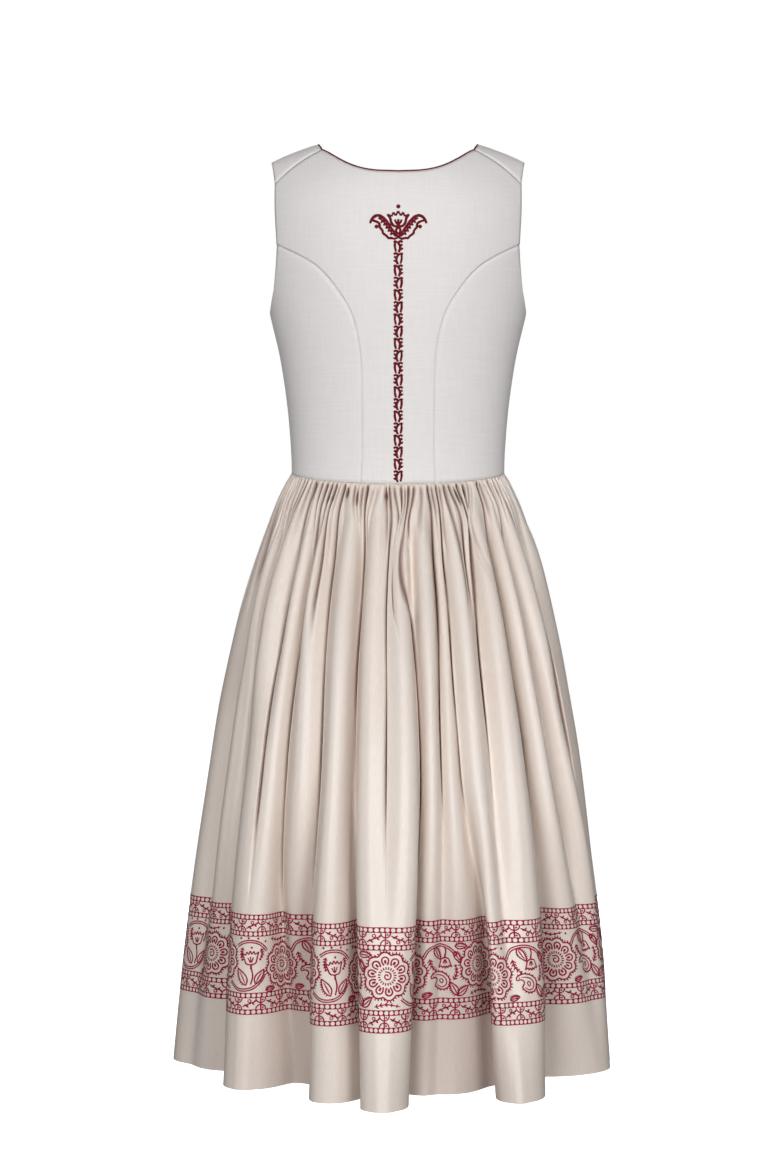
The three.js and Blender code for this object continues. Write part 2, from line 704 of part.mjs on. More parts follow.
// ---- the garment ---------------------------------------------------------------------------------------
const linen = { color: 0xdedad9, roughness: 0.9, metalness: 0 };
const satin = { color: 0xd9cec6, roughness: 0.45, metalness: 0 };
const redCotton = { color: 0x6e0f22, roughness: 0.8, metalness: 0 };

function piece(name, geometry, finish) {
  const mesh = new THREE.Mesh(geometry, new THREE.MeshStandardMaterial(finish));
  mesh.name = name;
  return mesh;
}

const dirndl = new THREE.Group();
const seams = bodiceSeams();
dirndl.add(piece('centre_back', centreBack(seams), linen));
for (const [side, flip] of [['right', false], ['left', true]]) {
  dirndl.add(piece(`side_back_${side}`, sideBack(seams, flip), linen));
  dirndl.add(piece(`side_front_${side}`, sideFront(seams, flip), linen));
  dirndl.add(piece(`front_${side}`, front(seams, flip), linen));
}
dirndl.add(piece('neck_piping', neckPiping(seams), redCotton));
dirndl.add(piece('skirt_back', skirtPiece(backFolds), satin));
dirndl.add(piece('skirt_front', skirtPiece(frontFolds()), satin));

export default dirndl;
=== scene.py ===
import math
import random

import bmesh
import bpy
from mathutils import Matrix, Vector, noise


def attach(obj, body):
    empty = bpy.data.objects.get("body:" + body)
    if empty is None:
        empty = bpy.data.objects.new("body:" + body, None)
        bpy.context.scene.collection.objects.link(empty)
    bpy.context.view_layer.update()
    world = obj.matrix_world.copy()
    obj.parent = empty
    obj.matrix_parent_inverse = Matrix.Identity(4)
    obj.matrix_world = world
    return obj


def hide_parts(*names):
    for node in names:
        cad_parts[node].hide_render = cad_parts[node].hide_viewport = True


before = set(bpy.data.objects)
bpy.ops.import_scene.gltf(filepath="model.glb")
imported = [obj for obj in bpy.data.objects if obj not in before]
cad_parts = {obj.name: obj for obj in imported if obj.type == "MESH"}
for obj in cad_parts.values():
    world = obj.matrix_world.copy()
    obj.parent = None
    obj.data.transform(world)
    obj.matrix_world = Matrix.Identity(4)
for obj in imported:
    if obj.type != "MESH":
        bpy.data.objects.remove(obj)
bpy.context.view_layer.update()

# A sleeveless dirndl in backed linen and heavy satin, held open in its worn shape.
# All tables are in millimetres, as the pattern was drafted. The back faces +Y, +Z is up, and
# turn is measured from the middle of the back, or of the front, towards the wearer's right.
MM = 0.001


def table(columns, rows):
    """Rows of numbers, read by the names of their columns."""
    return [dict(zip(columns.split(), row)) for row in rows]


# ---- the bodice's cut ----------------------------------------------------------------------
# Rows up the back, over the shoulder ridge and down the front.
FIGURE = table("height drop half_width depth", [
    (-430, 0, 129, 87),
    (-396, 0, 127.5, 85),
    (-362, 0, 128.5, 86),
    (-310, 0, 133, 92),
    (-254, 0, 141.5, 99),
    (-204, 0, 153, 105),
    (-152, 4, 161, 108),
    (-105, 12, 164, 106),
    (-62, 24, 166, 98),
    (-28, 34, 167, 78),
    (1, 34, 168, 42),
    (11, 33, 169, 2),
    (3, 33, 168, -34),
    (-25, 32, 167, -64),
    (-62, 24, 165, -88),
    (-105, 12, 162, -108),
    (-152, 4, 160, -124),
    (-204, 0, 153, -131),
    (-254, 0, 141.5, -126),
    (-310, 0, 133, -113),
    (-362, 0, 128.5, -103),
    (-396, 0, 127.5, -99),
    (-430, 0, 129, -99),
])
RIDGE = 11
SHOULDER_SPAN = 150
DROP_POWER = 2.2
FULLNESS = table("side across height width tall rise", [
    (-1, 80, -208, 46, 52, 13),   # cup
    (1, 74, -120, 42, 60, 4),     # shoulder blade
])
WAIST_SIDE, WAIST_DIP = -392, 14
LINEN_WALL = 1.3
SATIN_WALL = 0.6
SEAM_GAP = 0.3
STITCHED = 0.04

# Seam tables: side, then the way across ("a" millimetres, "r" degrees round), then height.
BACK_PRINCESS = [
    (1, "a", 43, -405), (1, "a", 41.5, -330), (1, "a", 43, -262), (1, "a", 51, -217),
    (1, "a", 67, -186), (1, "a", 99, -150), (1, "a", 143.5, -124.5),
]
BACK_ARMHOLE = [(1, "a", 143.5, -124.5), (1, "a", 145.5, -86), (1, "a", 146, -52)]
SHOULDER_SEAM = [(1, "a", 146, -52), (1, "a", 91, -12)]
BACK_NECK = [
    (1, "a", 91, -12), (1, "a", 71, -25.5), (1, "a", 50, -37), (1, "a", 28, -42.5),
    (1, "a", 0, -44),
]
UNDERARM_BACK = [
    (1, "a", 143.5, -124.5), (1, "r", 64, -150), (1, "r", 69.5, -176), (1, "r", 78, -193),
    (1, "r", 84, -198.5), (1, "r", 90, -200),
]
UNDERARM_FRONT = [
    (-1, "a", 136, -122), (-1, "r", 60.5, -150), (-1, "r", 68, -178), (-1, "r", 77, -194),
    (-1, "r", 84, -198.8), (-1, "r", 90, -200),
]
FRONT_PRINCESS = [
    (-1, "a", 50, -405), (-1, "a", 55, -340), (-1, "a", 67, -270), (-1, "a", 84, -205),
    (-1, "a", 106, -155), (-1, "a", 136, -122),
]
FRONT_ARMHOLE = [(-1, "a", 136, -122), (-1, "a", 140, -70), (0, "a", 151, 0), (1, "a", 146, -52)]
CENTRE_FRONT = [(-1, "a", 0, -405), (-1, "a", 0, -148)]
FRONT_NECK = [
    (-1, "a", 0, -148), (-1, "a", 42, -139), (-1, "a", 74, -108), (-1, "a", 88, -60),
    (0, "a", 96, 0), (1, "a", 91, -12),
]
SIDE_SEAM_BACK = [(1, "r", 90, -392), (1, "r", 90, -200)]
SIDE_SEAM_FRONT = [(-1, "r", 90, -392), (-1, "r", 90, -200)]

# Mesh steps along each seam, the same on both pieces that meet there.
STEPS = {"princess": 72, "back_armhole": 18, "shoulder": 18, "back_neck": 24, "underarm": 30,
         "centre_front": 52, "front_neck": 44}

# How each edge of a panel is finished: how deep it rolls under at the seam, and over what width.
# The roll grows up the blades and is pressed nearly flat on the shoulders.
ROLL = {"seam": (0.5, 1.3), "lapped": (0.2, 0.9), "edge": (0.7, 1.4), "waist": (0.3, 1.2)}
ROLL_BELOW, ROLL_ABOVE = 0.35, 1.7
BLADES_START, BLADES_REACH = -250, 110
PRESSED_FLAT = 0.85
SHOULDERS_START, SHOULDERS_REACH = -110, 50

# ---- the skirt's cut -----------------------------------------------------------------------
HEM = -1103
SKIRT_SECTIONS = table("height half_width half_depth middle", [
    (-391, 130, 94, -7),
    (-411, 140, 104, -6),
    (-426, 147, 112, -5),
    (-456, 158, 127, -4),
    (-486, 168, 143, -3),
    (-546, 186, 170, -1),
    (-606, 200, 192, 0),
    (-666, 212, 210, 0),
    (-726, 222, 225, 0),
    (-846, 239, 247, 0),
    (-966, 252, 259, 0),
    (-1103, 264, 264, 0),
])
FOLD_UPPER, FOLD_MIDDLE, FOLDS_FULL = -515, -726, -480
WAIST_SOFTENING = 0.2

# Large folds from the left seam round the back: turn in degrees and reach as a share of the
# envelope, each at the upper, middle and hem level.
BACK_FOLDS = table("turn out", [
    ((-103, -103, -107), (0.93, 0.90, 0.80)),
    ((-84, -85, -93), (1.00, 1.012, 1.035)),
    ((-73, -74, -85), (0.94, 0.92, 0.94)),
    ((-67, -63, -80), (0.98, 0.95, 0.90)),
    ((-63, -59, -72), (0.93, 0.88, 0.76)),
    ((-53, -49, -53), (1.00, 1.00, 0.92)),
    ((-46, -45, -50), (0.93, 0.985, 0.91)),
    ((-42, -41, -47), (0.98, 0.97, 0.84)),
    ((-38, -38, -45), (0.92, 0.89, 0.64)),
    ((-33, -31, -42), (1.00, 0.96, 0.62)),
    ((-27.5, -25, -37), (0.93, 0.89, 0.62)),
    ((-20, -19, -20), (1.00, 1.00, 0.89)),
    ((-15, -14, -9), (0.90, 0.85, 0.73)),
    ((-9, -9.5, -7.5), (1.00, 1.00, 0.99)),
    ((-4, -3.5, -4), (0.975, 0.985, 1.01)),
    ((1, 3, 0), (1.01, 1.02, 0.97)),
    ((5.5, 7, 2), (0.92, 0.88, 0.66)),
    ((10, 10, 9), (1.00, 0.96, 0.70)),
    ((15, 13.5, 14), (0.91, 0.90, 0.69)),
    ((17, 16, 20), (0.94, 0.94, 0.71)),
    ((18.5, 19.5, 41), (0.93, 0.91, 0.66)),
    ((23, 24, 30), (1.00, 0.97, 0.96)),
    ((30, 30, 31.5), (0.92, 0.90, 0.99)),
    ((36, 37, 35), (1.00, 0.99, 0.99)),
    ((43.5, 46, 60), (0.91, 0.86, 0.69)),
    ((47, 49.5, 71), (0.99, 0.96, 0.88)),
    ((52, 57, 76), (0.90, 0.90, 0.94)),
    ((59, 62, 81), (1.00, 1.00, 0.97)),
    ((69, 70, 87), (0.93, 0.90, 0.955)),
    ((80, 82, 93), (0.995, 0.99, 0.975)),
    ((98, 100, 105), (0.93, 0.88, 0.80)),
])
# The front has the back's folds in the other order, narrower, and swaying a little.
FRONT_SHARE = (0.786, 0.774, 0.7)
FRONT_SWAY_TURN, FRONT_SWAY_OUT, FRONT_SWAY_PITCH = 1.6, 0.02, 2.4

UPPER_DEPTH = 1.5                  # folds are this much deeper at the upper level than in the table
FOLD_LEAN, PLEAT_LEAN = 0.4, 0.7   # how far the valleys lie over towards the sides
CREST_BREADTH = 0.42               # how much broader a crest runs than a valley
SKIRT_COLUMNS, SKIRT_ROWS = 700, 64
COLUMN_CROWDING = 0.22             # how far mesh columns move towards a valley
SKIRT_TOP, PRINT_LEVEL = -399, -957
SEAM_DIP_ENDS = 80                 # the waist seam's dip is lost this far below it
EVENED, EVENED_UNTIL = 0.8, 110    # the large folds are mostly evened out at the seam
EVEN_SHARE = 0.985
SEAM_TUCK = 2.5                    # how far the cloth turns in at the side seams
# how strongly painted shade darkens the satin's colour in the pleats' creases and in the large folds'
# valleys
PLEAT_PAINTED_SHADE, FOLD_VALLEY_PAINTED_SHADE = 0.92, 0.22

# Small pleats at the waist, in each of the two widths. Each kind of valley between them has its
# depth, how far down it runs in full, and over what length it then fades.
PLEATS = 66
VALLEY_SIZES = {
    "short": {"depth": (4, 12), "stop": (12, 70), "fade": (24, 80)},
    "middle": {"depth": (10, 16), "stop": (50, 150), "fade": (60, 140)},
    "long": {"depth": (12, 18), "stop": (200, 350), "fade": (140, 240)},
}
LONG_NEAR_SIDES = (0.045, 0.1, 0.16, 0.84, 0.9, 0.955)
HOLES, HOLE_GAPE, SOFT_FOLDS = 24, 0.36, 14
LAP_STARTS, LAP_REACH = 6, 36      # how far below the seam the pleats lap over
# A valley's two sides: their breadth and how sharply they bend, at the seam and once they lap.
STEEP_SIDE = ((0.5, 0.18), (1.35, 1.0))
LONG_SIDE = ((0.5, 0.85), (1.35, 2.3))
SWAY, RIPPLE = 30, 3.5             # in mesh columns, and in millimetres


# ---- curves and tables ---------------------------------------------------------------------
def hermite(start, end, slope_start, slope_end, t):
    t2 = t * t
    t3 = t2 * t
    return (start * (2 * t3 - 3 * t2 + 1) + slope_start * (t3 - 2 * t2 + t)
            + end * (3 * t2 - 2 * t3) + slope_end * (t3 - t2))


def mix(a, b, t):
    return a + (b - a) * t


def smooth(t):
    t = min(1.0, max(0.0, t))
    return t * t * (3 - 2 * t)


def read_table(rows, keys, place):
    """All columns of a table, read smoothly at a place between its rows."""
    last = len(rows) - 1
    rising = keys[1] > keys[0]
    index = 0
    while index < last - 1 and (place > keys[index + 1] if rising else place < keys[index + 1]):
        index += 1
    span = keys[index + 1] - keys[index]
    t = (place - keys[index]) / span
    before, after = max(0, index - 1), min(last, index + 2)
    result = {}
    for name, low in rows[index].items():
        high = rows[index + 1][name]
        slope_low = (high - rows[before][name]) / (keys[index + 1] - keys[before])
        slope_high = (rows[after][name] - low) / (keys[after] - keys[index])
        result[name] = hermite(low, high, slope_low * span, slope_high * span, t)
    return result


def figure_at(row):
    return read_table(FIGURE, range(len(FIGURE)), row)


SECTION_HEIGHTS = [row["height"] for row in SKIRT_SECTIONS]


def section_at(height):
    return read_table(SKIRT_SECTIONS, SECTION_HEIGHTS, height)


def walk(points):
    """How far along a line each of its points lies."""
    walked = [0.0]
    for a, b in zip(points, points[1:]):
        walked.append(walked[-1] + (b - a).length)
    return walked


# ---- the bodice's surface ------------------------------------------------------------------
def fullness_at(x, z, side):
    total = 0.0
    for form in FULLNESS:
        if form["side"] == side:
            across = (abs(x) - form["across"]) / form["width"]
            up = (z - form["height"]) / form["tall"]
            total += side * form["rise"] * math.exp(-across * across - up * up)
    return total


def body_point(turn, row):
    """A point of the bodice's outer surface."""
    level = figure_at(row)
    x = -level["half_width"] * math.sin(turn)
    z = level["height"] - level["drop"] * (abs(x) / SHOULDER_SPAN) ** DROP_POWER
    side = (RIDGE > row) - (RIDGE < row)
    ease = min(1.0, abs(RIDGE - row) / 3) * math.cos(turn)
    y = level["depth"] * math.cos(turn) + ease * fullness_at(x, z, side)
    return Vector((x, y, z))


def body_normal(turn, row):
    reach = 1e-3
    over_turn = body_point(turn + reach, row) - body_point(turn - reach, row)
    over_row = body_point(turn, row + reach) - body_point(turn, row - reach)
    return over_turn.cross(over_row).normalized()


def row_at_height(target, low, high, turn_at):
    """The row between two others where the figure's surface passes a height."""
    for _ in range(30):
        middle = (low + high) / 2
        if body_point(turn_at(middle), middle).z < target:
            low = middle
        else:
            high = middle
    return middle


def locate(place):
    """A seam table's place as the figure's own turn and row."""
    side, kind, across, height = place

    def turn_at(row):
        if kind == "r":
            return math.radians(across)
        return math.asin(min(1.0, across / figure_at(row)["half_width"]))

    if side == 0:
        return turn_at(RIDGE), float(RIDGE)
    lowest = 0.0 if side > 0 else len(FIGURE) - 1.0
    row = row_at_height(height, lowest, float(RIDGE), turn_at)
    return turn_at(row), row


def waist_row(turn, side):
    target = WAIST_SIDE - WAIST_DIP * math.cos(turn)
    low, high = (0.0, 3.0) if side > 0 else (len(FIGURE) - 1.0, len(FIGURE) - 4.0)
    return row_at_height(target, low, high, lambda row: turn)


def catmull(knots, t):
    """The spline that the pattern cutter's curve follows, t from 0 to 1."""
    place = t * (len(knots) - 1)
    i = min(len(knots) - 2, int(place))
    w = place - i
    p1, p2 = knots[i], knots[i + 1]
    p0 = knots[i - 1] if i > 0 else p1
    p3 = knots[i + 2] if i < len(knots) - 2 else p2
    return tuple(hermite(p1[k], p2[k], (p2[k] - p0[k]) / 2, (p3[k] - p1[k]) / 2, w)
                 for k in range(len(p1)))


def even_steps(places, points, count):
    """Places along a finely walked line, re-spaced into count equal steps."""
    walked = walk(points)
    result, step = [], 0
    for stop in range(count + 1):
        target = walked[-1] * stop / count
        while step < len(points) - 2 and walked[step + 1] < target:
            step += 1
        t = (target - walked[step]) / max(1e-9, walked[step + 1] - walked[step])
        result.append(tuple(mix(a, b, t) for a, b in zip(places[step], places[step + 1])))
    return result


def seam(places, count):
    """A seam's line of turns and rows, in equal steps along the cloth."""
    knots = [locate(place) for place in places]
    fine = [catmull(knots, step / (4 * count)) for step in range(4 * count + 1)]
    return even_steps(fine, [body_point(*place) for place in fine], count)


def from_waist(places, count, side):
    """A seam that starts on the waist seam exactly."""
    line = seam(places, count)
    shift = waist_row(line[0][0], side) - line[0][1]
    return [(turn, row + shift * (1 - i / count) ** 2) for i, (turn, row) in enumerate(line)]


def waist_seam(start, end, side, count):
    turns = [mix(start, end, stop / count) for stop in range(count + 1)]
    return [(turn, waist_row(turn, side)) for turn in turns]


def mirrored(line):
    return [(-turn, row) for turn, row in line]


def fill_panel(bottom, top, left, right):
    """Turn and row at every mesh point of a panel between its four edges."""
    columns, rows = len(bottom) - 1, len(left) - 1
    grid = []
    for i in range(rows + 1):
        low, high = (1 - i / rows) ** 3, (i / rows) ** 3
        line = []
        for j in range(columns + 1):
            a = j / columns
            place = []
            for k in (0, 1):
                ruled = mix(left[i][k], right[i][k], a)
                from_bottom = bottom[j][k] - mix(left[0][k], right[0][k], a)
                from_top = top[j][k] - mix(left[-1][k], right[-1][k], a)
                place.append(ruled + low * from_bottom + high * from_top)
            line.append(tuple(place))
        grid.append(line)
    return grid


# ---- meshes --------------------------------------------------------------------------------
def finish_mesh(name, bm, material):
    """A named piece of the part from a finished bmesh."""
    mesh = bpy.data.meshes.new(name)
    bm.to_mesh(mesh)
    bm.free()
    piece = bpy.data.objects.new(name, mesh)
    bpy.context.scene.collection.objects.link(piece)
    mesh.materials.append(material)
    for face in mesh.polygons:
        face.use_smooth = True
    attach(piece, "root")
    return piece


def cloth_sheet(name, points, uvs, material, wall, painted_shading_grid=None):
    """A sheet of cloth through a grid of points, its right side out, with a wall inwards.

    The last argument gives for each point, from 0 to 1, how much painted shade darkens its colour, the
    deeper it lies in a crease or fold.
    """
    rows, columns = len(points) - 1, len(points[0]) - 1
    bm = bmesh.new()
    bmesh.ops.create_grid(bm, x_segments=columns, y_segments=rows, size=0.5)
    uv_layer = bm.loops.layers.uv.new("cloth")
    # the painted shade each point's colour takes, read by the satin's material
    painted_shading_layer = bm.verts.layers.float.new("painted_crease_shade")
    place = {}
    for vertex in bm.verts:
        i = round((vertex.co.y + 0.5) * rows)
        j = round((vertex.co.x + 0.5) * columns)
        place[vertex] = (i, j)
    for vertex, (i, j) in place.items():
        vertex.co = points[i][j] * MM
        vertex[painted_shading_layer] = painted_shading_grid[i][j] if painted_shading_grid else 0.0
    for face in bm.faces:
        for loop in face.loops:
            i, j = place[loop.vert]
            loop[uv_layer].uv = (uvs[i][j][0] * MM, uvs[i][j][1] * MM)
    bm.normal_update()
    facing_out = sum(f.normal.x * f.calc_center_median().x + f.normal.y * f.calc_center_median().y
                     for f in bm.faces)
    if facing_out < 0:
        bmesh.ops.reverse_faces(bm, faces=bm.faces)
    piece = finish_mesh(name, bm, material)
    thicken = piece.modifiers.new("wall", "SOLIDIFY")
    thicken.thickness = wall * MM
    thicken.offset = -1
    thicken.use_even_offset = False
    return piece


# ---- materials -----------------------------------------------------------------------------
def srgb(code):
    """An sRGB hex colour as Blender's linear colour."""
    channels = [int(code[i:i + 2], 16) / 255 for i in (1, 3, 5)]
    return [c / 12.92 if c <= 0.04045 else ((c + 0.055) / 1.055) ** 2.4 for c in channels] + [1]


def new_material(name, finish):
    """A material whose shader has the finish's plain values, which are the same all over."""
    material = bpy.data.materials.new(name)
    material.use_nodes = True
    tree = material.node_tree
    shader = tree.nodes["Principled BSDF"]
    for socket, value in finish.items():
        shader.inputs[socket].default_value = value
    return material, tree, shader


def add(tree, kind, links=None, **settings):
    """A node with its settings, and each named input linked to a socket or given a value."""
    node = tree.nodes.new(kind)
    for name, value in settings.items():
        setattr(node, name, value)
    for name, value in (links or {}).items():
        socket = node.inputs[name]
        if isinstance(value, bpy.types.NodeSocket):
            tree.links.new(value, socket)
        else:
            socket.default_value = value
    return node


def linen_plain_weave():
    """Fine bleached linen: matt, cool off-white, with a just visible uneven plain weave."""
    material, tree, shader = new_material("linen plain weave", {
        "Roughness": 0.88, "Sheen Weight": 0.15, "Sheen Roughness": 0.6})
    where = add(tree, "ShaderNodeUVMap", uv_map="cloth").outputs["UV"]
    # at this scale a wave's bands lie 0.35 mm apart, as the threads do
    warp, weft = (add(tree, "ShaderNodeTexWave", {
        "Vector": where, "Scale": 900.0, "Distortion": 1.2, "Detail": 1.0, "Detail Scale": 1.2},
        bands_direction=way).outputs["Fac"] for way in "XY")
    weave = add(tree, "ShaderNodeMath", {0: warp, 1: weft}, operation="MULTIPLY").outputs[0]
    # slubs: thick places 2 mm across that run a few centimetres along the cloth
    along = add(tree, "ShaderNodeMapping", {"Vector": where, "Scale": (420, 26, 1)}).outputs[0]
    across = add(tree, "ShaderNodeMapping", {"Vector": where, "Scale": (26, 420, 1)}).outputs[0]
    slub_a = add(tree, "ShaderNodeTexNoise", {"Vector": along, "Scale": 1.0, "Detail": 2.0})
    slub_b = add(tree, "ShaderNodeTexNoise", {"Vector": across, "Scale": 1.0, "Detail": 2.0})
    slubs = add(tree, "ShaderNodeMath", {0: slub_a.outputs["Fac"], 1: slub_b.outputs["Fac"]},
                operation="ADD").outputs[0]
    tone = add(tree, "ShaderNodeValToRGB", {"Fac": add(tree, "ShaderNodeMapRange", {
        "Value": slubs, "From Min": 0.75, "From Max": 1.25}).outputs[0]})
    tone.color_ramp.elements[0].color = srgb("#E8E4E3")
    tone.color_ramp.elements[1].color = srgb("#ECE9E8")
    tree.links.new(tone.outputs["Color"], shader.inputs["Base Color"])
    height = add(tree, "ShaderNodeMath", {0: weave, 1: slubs}, operation="ADD").outputs[0]
    bump = add(tree, "ShaderNodeBump", {"Height": height, "Strength": 0.03, "Distance": 0.0003})
    tree.links.new(bump.outputs["Normal"], shader.inputs["Normal"])
    return material


def duchesse_satin():
    """Heavy satin: long floats give a soft broad shine down each fold."""
    material, tree, shader = new_material("duchesse satin", {
        "Roughness": 0.41, "IOR": 1.65, "Specular IOR Level": 0.55})
    where = add(tree, "ShaderNodeUVMap", uv_map="cloth").outputs["UV"]
    # floats 1 mm across and 11 mm long, coarser than real ones so that they show, and wide clouds
    floats = add(tree, "ShaderNodeMapping", {"Vector": where, "Scale": (1200, 90, 1)}).outputs[0]
    thread = add(tree, "ShaderNodeTexNoise", {"Vector": floats, "Scale": 1.0, "Detail": 1.0})
    broad = add(tree, "ShaderNodeMapping", {"Vector": where, "Scale": (9, 5, 1)}).outputs[0]
    cloud = add(tree, "ShaderNodeTexNoise", {"Vector": broad, "Scale": 1.0, "Detail": 2.0})
    shade = add(tree, "ShaderNodeMath", {0: thread.outputs["Fac"], 1: cloud.outputs["Fac"]},
                operation="ADD").outputs[0]
    tone = add(tree, "ShaderNodeValToRGB", {"Fac": add(tree, "ShaderNodeMapRange", {
        "Value": shade, "From Min": 0.7, "From Max": 1.3}).outputs[0]})
    tone.color_ramp.elements[0].color = srgb("#E5D8CE")
    tone.color_ramp.elements[1].color = srgb("#EEE3DA")
    # painted shade: the satin's colour is darkened to a warm brown in the pleats' creases and in the
    # large folds' valleys, where shade falls
    painted_crease_shade = add(tree, "ShaderNodeAttribute", attribute_name="painted_crease_shade").outputs["Fac"]
    painted_shading_mix = add(tree, "ShaderNodeMixRGB", {"Fac": painted_crease_shade, "Color1": tone.outputs["Color"],
                 "Color2": srgb("#744434")})
    tree.links.new(painted_shading_mix.outputs[0], shader.inputs["Base Color"])
    bump = add(tree, "ShaderNodeBump", {"Height": thread.outputs["Fac"], "Strength": 0.05,
               "Distance": 0.0002})
    tree.links.new(bump.outputs["Normal"], shader.inputs["Normal"])
    return material


def twisted_cotton(name, colour):
    """Mercerised thread: a deep even colour with a small soft shine."""
    material, tree, shader = new_material(name, {
        "Base Color": srgb(colour), "Roughness": 0.7, "Specular IOR Level": 0.15})
    where = add(tree, "ShaderNodeTexCoord").outputs["Object"]
    fibre = add(tree, "ShaderNodeTexNoise", {"Vector": where, "Scale": 900.0, "Detail": 2.0})
    bump = add(tree, "ShaderNodeBump", {"Height": fibre.outputs["Fac"], "Strength": 0.3,
               "Distance": 0.0003})
    tree.links.new(bump.outputs["Normal"], shader.inputs["Normal"])
    return material


def printing_ink():
    """Block-printed crimson, soaked into the satin, a little lighter where the block pressed less."""
    material, tree, shader = new_material("block printed crimson", {
        "Roughness": 0.6, "Specular IOR Level": 0.2})
    where = add(tree, "ShaderNodeTexCoord").outputs["Object"]
    press = add(tree, "ShaderNodeTexNoise", {"Vector": where, "Scale": 260.0, "Detail": 3.0})
    tone = add(tree, "ShaderNodeValToRGB", {"Fac": press.outputs["Fac"]})
    tone.color_ramp.elements[0].position = 0.35
    tone.color_ramp.elements[0].color = srgb("#8E0C34")
    tone.color_ramp.elements[1].position = 0.7
    tone.color_ramp.elements[1].color = srgb("#AC264C")
    tree.links.new(tone.outputs["Color"], shader.inputs["Base Color"])
    return material


LINEN = linen_plain_weave()
SATIN = duchesse_satin()
THREAD_RED = twisted_cotton("mercerised cotton thread", "#6A0A1C")
THREAD_PINK = twisted_cotton("rose cotton thread", "#D06A78")
PRINT_RED = printing_ink()


# ---- bodice --------------------------------------------------------------------------------
def bodice_edges():
    return {
        "back_princess": from_waist(BACK_PRINCESS, STEPS["princess"], 1),
        "back_armhole": seam(BACK_ARMHOLE, STEPS["back_armhole"]),
        "shoulder": seam(SHOULDER_SEAM, STEPS["shoulder"]),
        "back_neck": seam(BACK_NECK, STEPS["back_neck"]),
        "underarm_back": seam(UNDERARM_BACK, STEPS["underarm"]),
        "underarm_front": seam(UNDERARM_FRONT, STEPS["underarm"]),
        "side_back": from_waist(SIDE_SEAM_BACK, STEPS["princess"], 1),
        "side_front": from_waist(SIDE_SEAM_FRONT, STEPS["princess"], -1),
        "front_princess": from_waist(FRONT_PRINCESS, STEPS["princess"], -1),
        "centre_front": from_waist(CENTRE_FRONT, STEPS["centre_front"], -1),
        "front_neck": seam(FRONT_NECK, STEPS["front_neck"]),
        "front_armhole": seam(FRONT_ARMHOLE, STEPS["centre_front"] + STEPS["front_neck"]
                              - STEPS["princess"]),
    }


EDGES = bodice_edges()


def panel_lines(name):
    """Bottom, top, left and right edges of a bodice panel on the wearer's right."""
    if name == "centre_back":
        right = EDGES["back_princess"] + EDGES["back_armhole"][1:]
        half_top = EDGES["shoulder"] + EDGES["back_neck"][1:]
        top = mirrored(half_top) + half_top[-2::-1]
        edge = EDGES["back_princess"][0][0]
        return waist_seam(-edge, edge, 1, len(top) - 1), top, mirrored(right), right
    if name == "side_back":
        left = EDGES["back_princess"]
        bottom = waist_seam(left[0][0], math.pi / 2, 1, STEPS["underarm"])
        return bottom, EDGES["underarm_back"], left, EDGES["side_back"]
    if name == "side_front":
        left = EDGES["front_princess"]
        bottom = waist_seam(left[0][0], math.pi / 2, -1, STEPS["underarm"])
        return bottom, EDGES["underarm_front"], left, EDGES["side_front"]
    inner = EDGES["centre_front"] + EDGES["front_neck"][1:]
    outer = EDGES["front_princess"] + EDGES["front_armhole"][1:]
    bottom = waist_seam(0.0, outer[0][0], -1, STEPS["shoulder"])
    return bottom, EDGES["shoulder"][::-1], inner, outer


def distance_grid(points):
    """How far each mesh point lies from the left, right, bottom and top edges, in mm."""
    rows, columns = len(points) - 1, len(points[0]) - 1
    across = [walk(line) for line in points]
    up = [walk([line[j] for line in points]) for j in range(columns + 1)]
    return [[(across[i][j], across[i][-1] - across[i][j], up[j][i], up[j][-1] - up[j][i])
             for j in range(columns + 1)] for i in range(rows + 1)]


def roll_share(height):
    """How deep the seams roll: little at the waist, most between the blades, hardly on the shoulder."""
    risen = mix(ROLL_BELOW, ROLL_ABOVE, smooth((height - BLADES_START) / BLADES_REACH))
    return risen * (1 - PRESSED_FLAT * smooth((height - SHOULDERS_START) / SHOULDERS_REACH))


def bodice_panel(name, node, flip, finishes):
    """One linen panel; finishes names those of its left, right, bottom and top edges."""
    lines = panel_lines(name)
    if flip:
        lines = [mirrored(line) for line in lines]
    grid = fill_panel(*lines)
    points = [[body_point(*place) for place in line] for line in grid]
    distances = distance_grid(points)
    rolled = []
    for i, line in enumerate(points):
        new_line = []
        for j, point in enumerate(line):
            depth = 0.0
            for finish, distance in zip(finishes, distances[i][j]):
                deep, width = ROLL[finish]
                deep *= roll_share(point.z)
                depth = max(depth, deep * (1 - smooth(distance / width)))
            new_line.append(point - body_normal(*grid[i][j]) * depth)
        rolled.append(new_line)
    uvs = [[(point.x, point.z) for point in line] for line in points]
    piece = cloth_sheet(node + "_linen", draw_back(rolled), uvs, LINEN, LINEN_WALL)
    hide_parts(node)
    return piece


def draw_back(points):
    """Leaves a hair of air between two pieces that are sewn edge to edge."""
    rows, columns = len(points) - 1, len(points[0]) - 1
    moved = [[point.copy() for point in line] for line in points]
    half = STITCHED / 2
    for i in range(rows + 1):
        for edge, inner in ((0, 1), (columns, columns - 1)):
            moved[i][edge] += (points[i][inner] - points[i][edge]).normalized() * half
    for j in range(columns + 1):
        for edge, inner in ((0, 1), (rows, rows - 1)):
            moved[edge][j] += (points[inner][j] - points[edge][j]).normalized() * half
    return moved


def build_bodice():
    """All seven linen panels, with the embroidery on the centre back."""
    plan = [("centre_back", "centre_back", False, ("lapped", "lapped", "waist", "edge"))]
    for side, flip in (("right", False), ("left", True)):
        plan.append(("side_back", "side_back_" + side, flip, ("seam", "seam", "waist", "edge")))
        plan.append(("side_front", "side_front_" + side, flip, ("seam", "seam", "waist", "edge")))
        plan.append(("front", "front_" + side, flip, ("seam", "seam", "seam", "seam")))
    for name, node, flip, finishes in plan:
        piece = bodice_panel(name, node, flip, finishes)
        added = build_embroidery() if name == "centre_back" else []


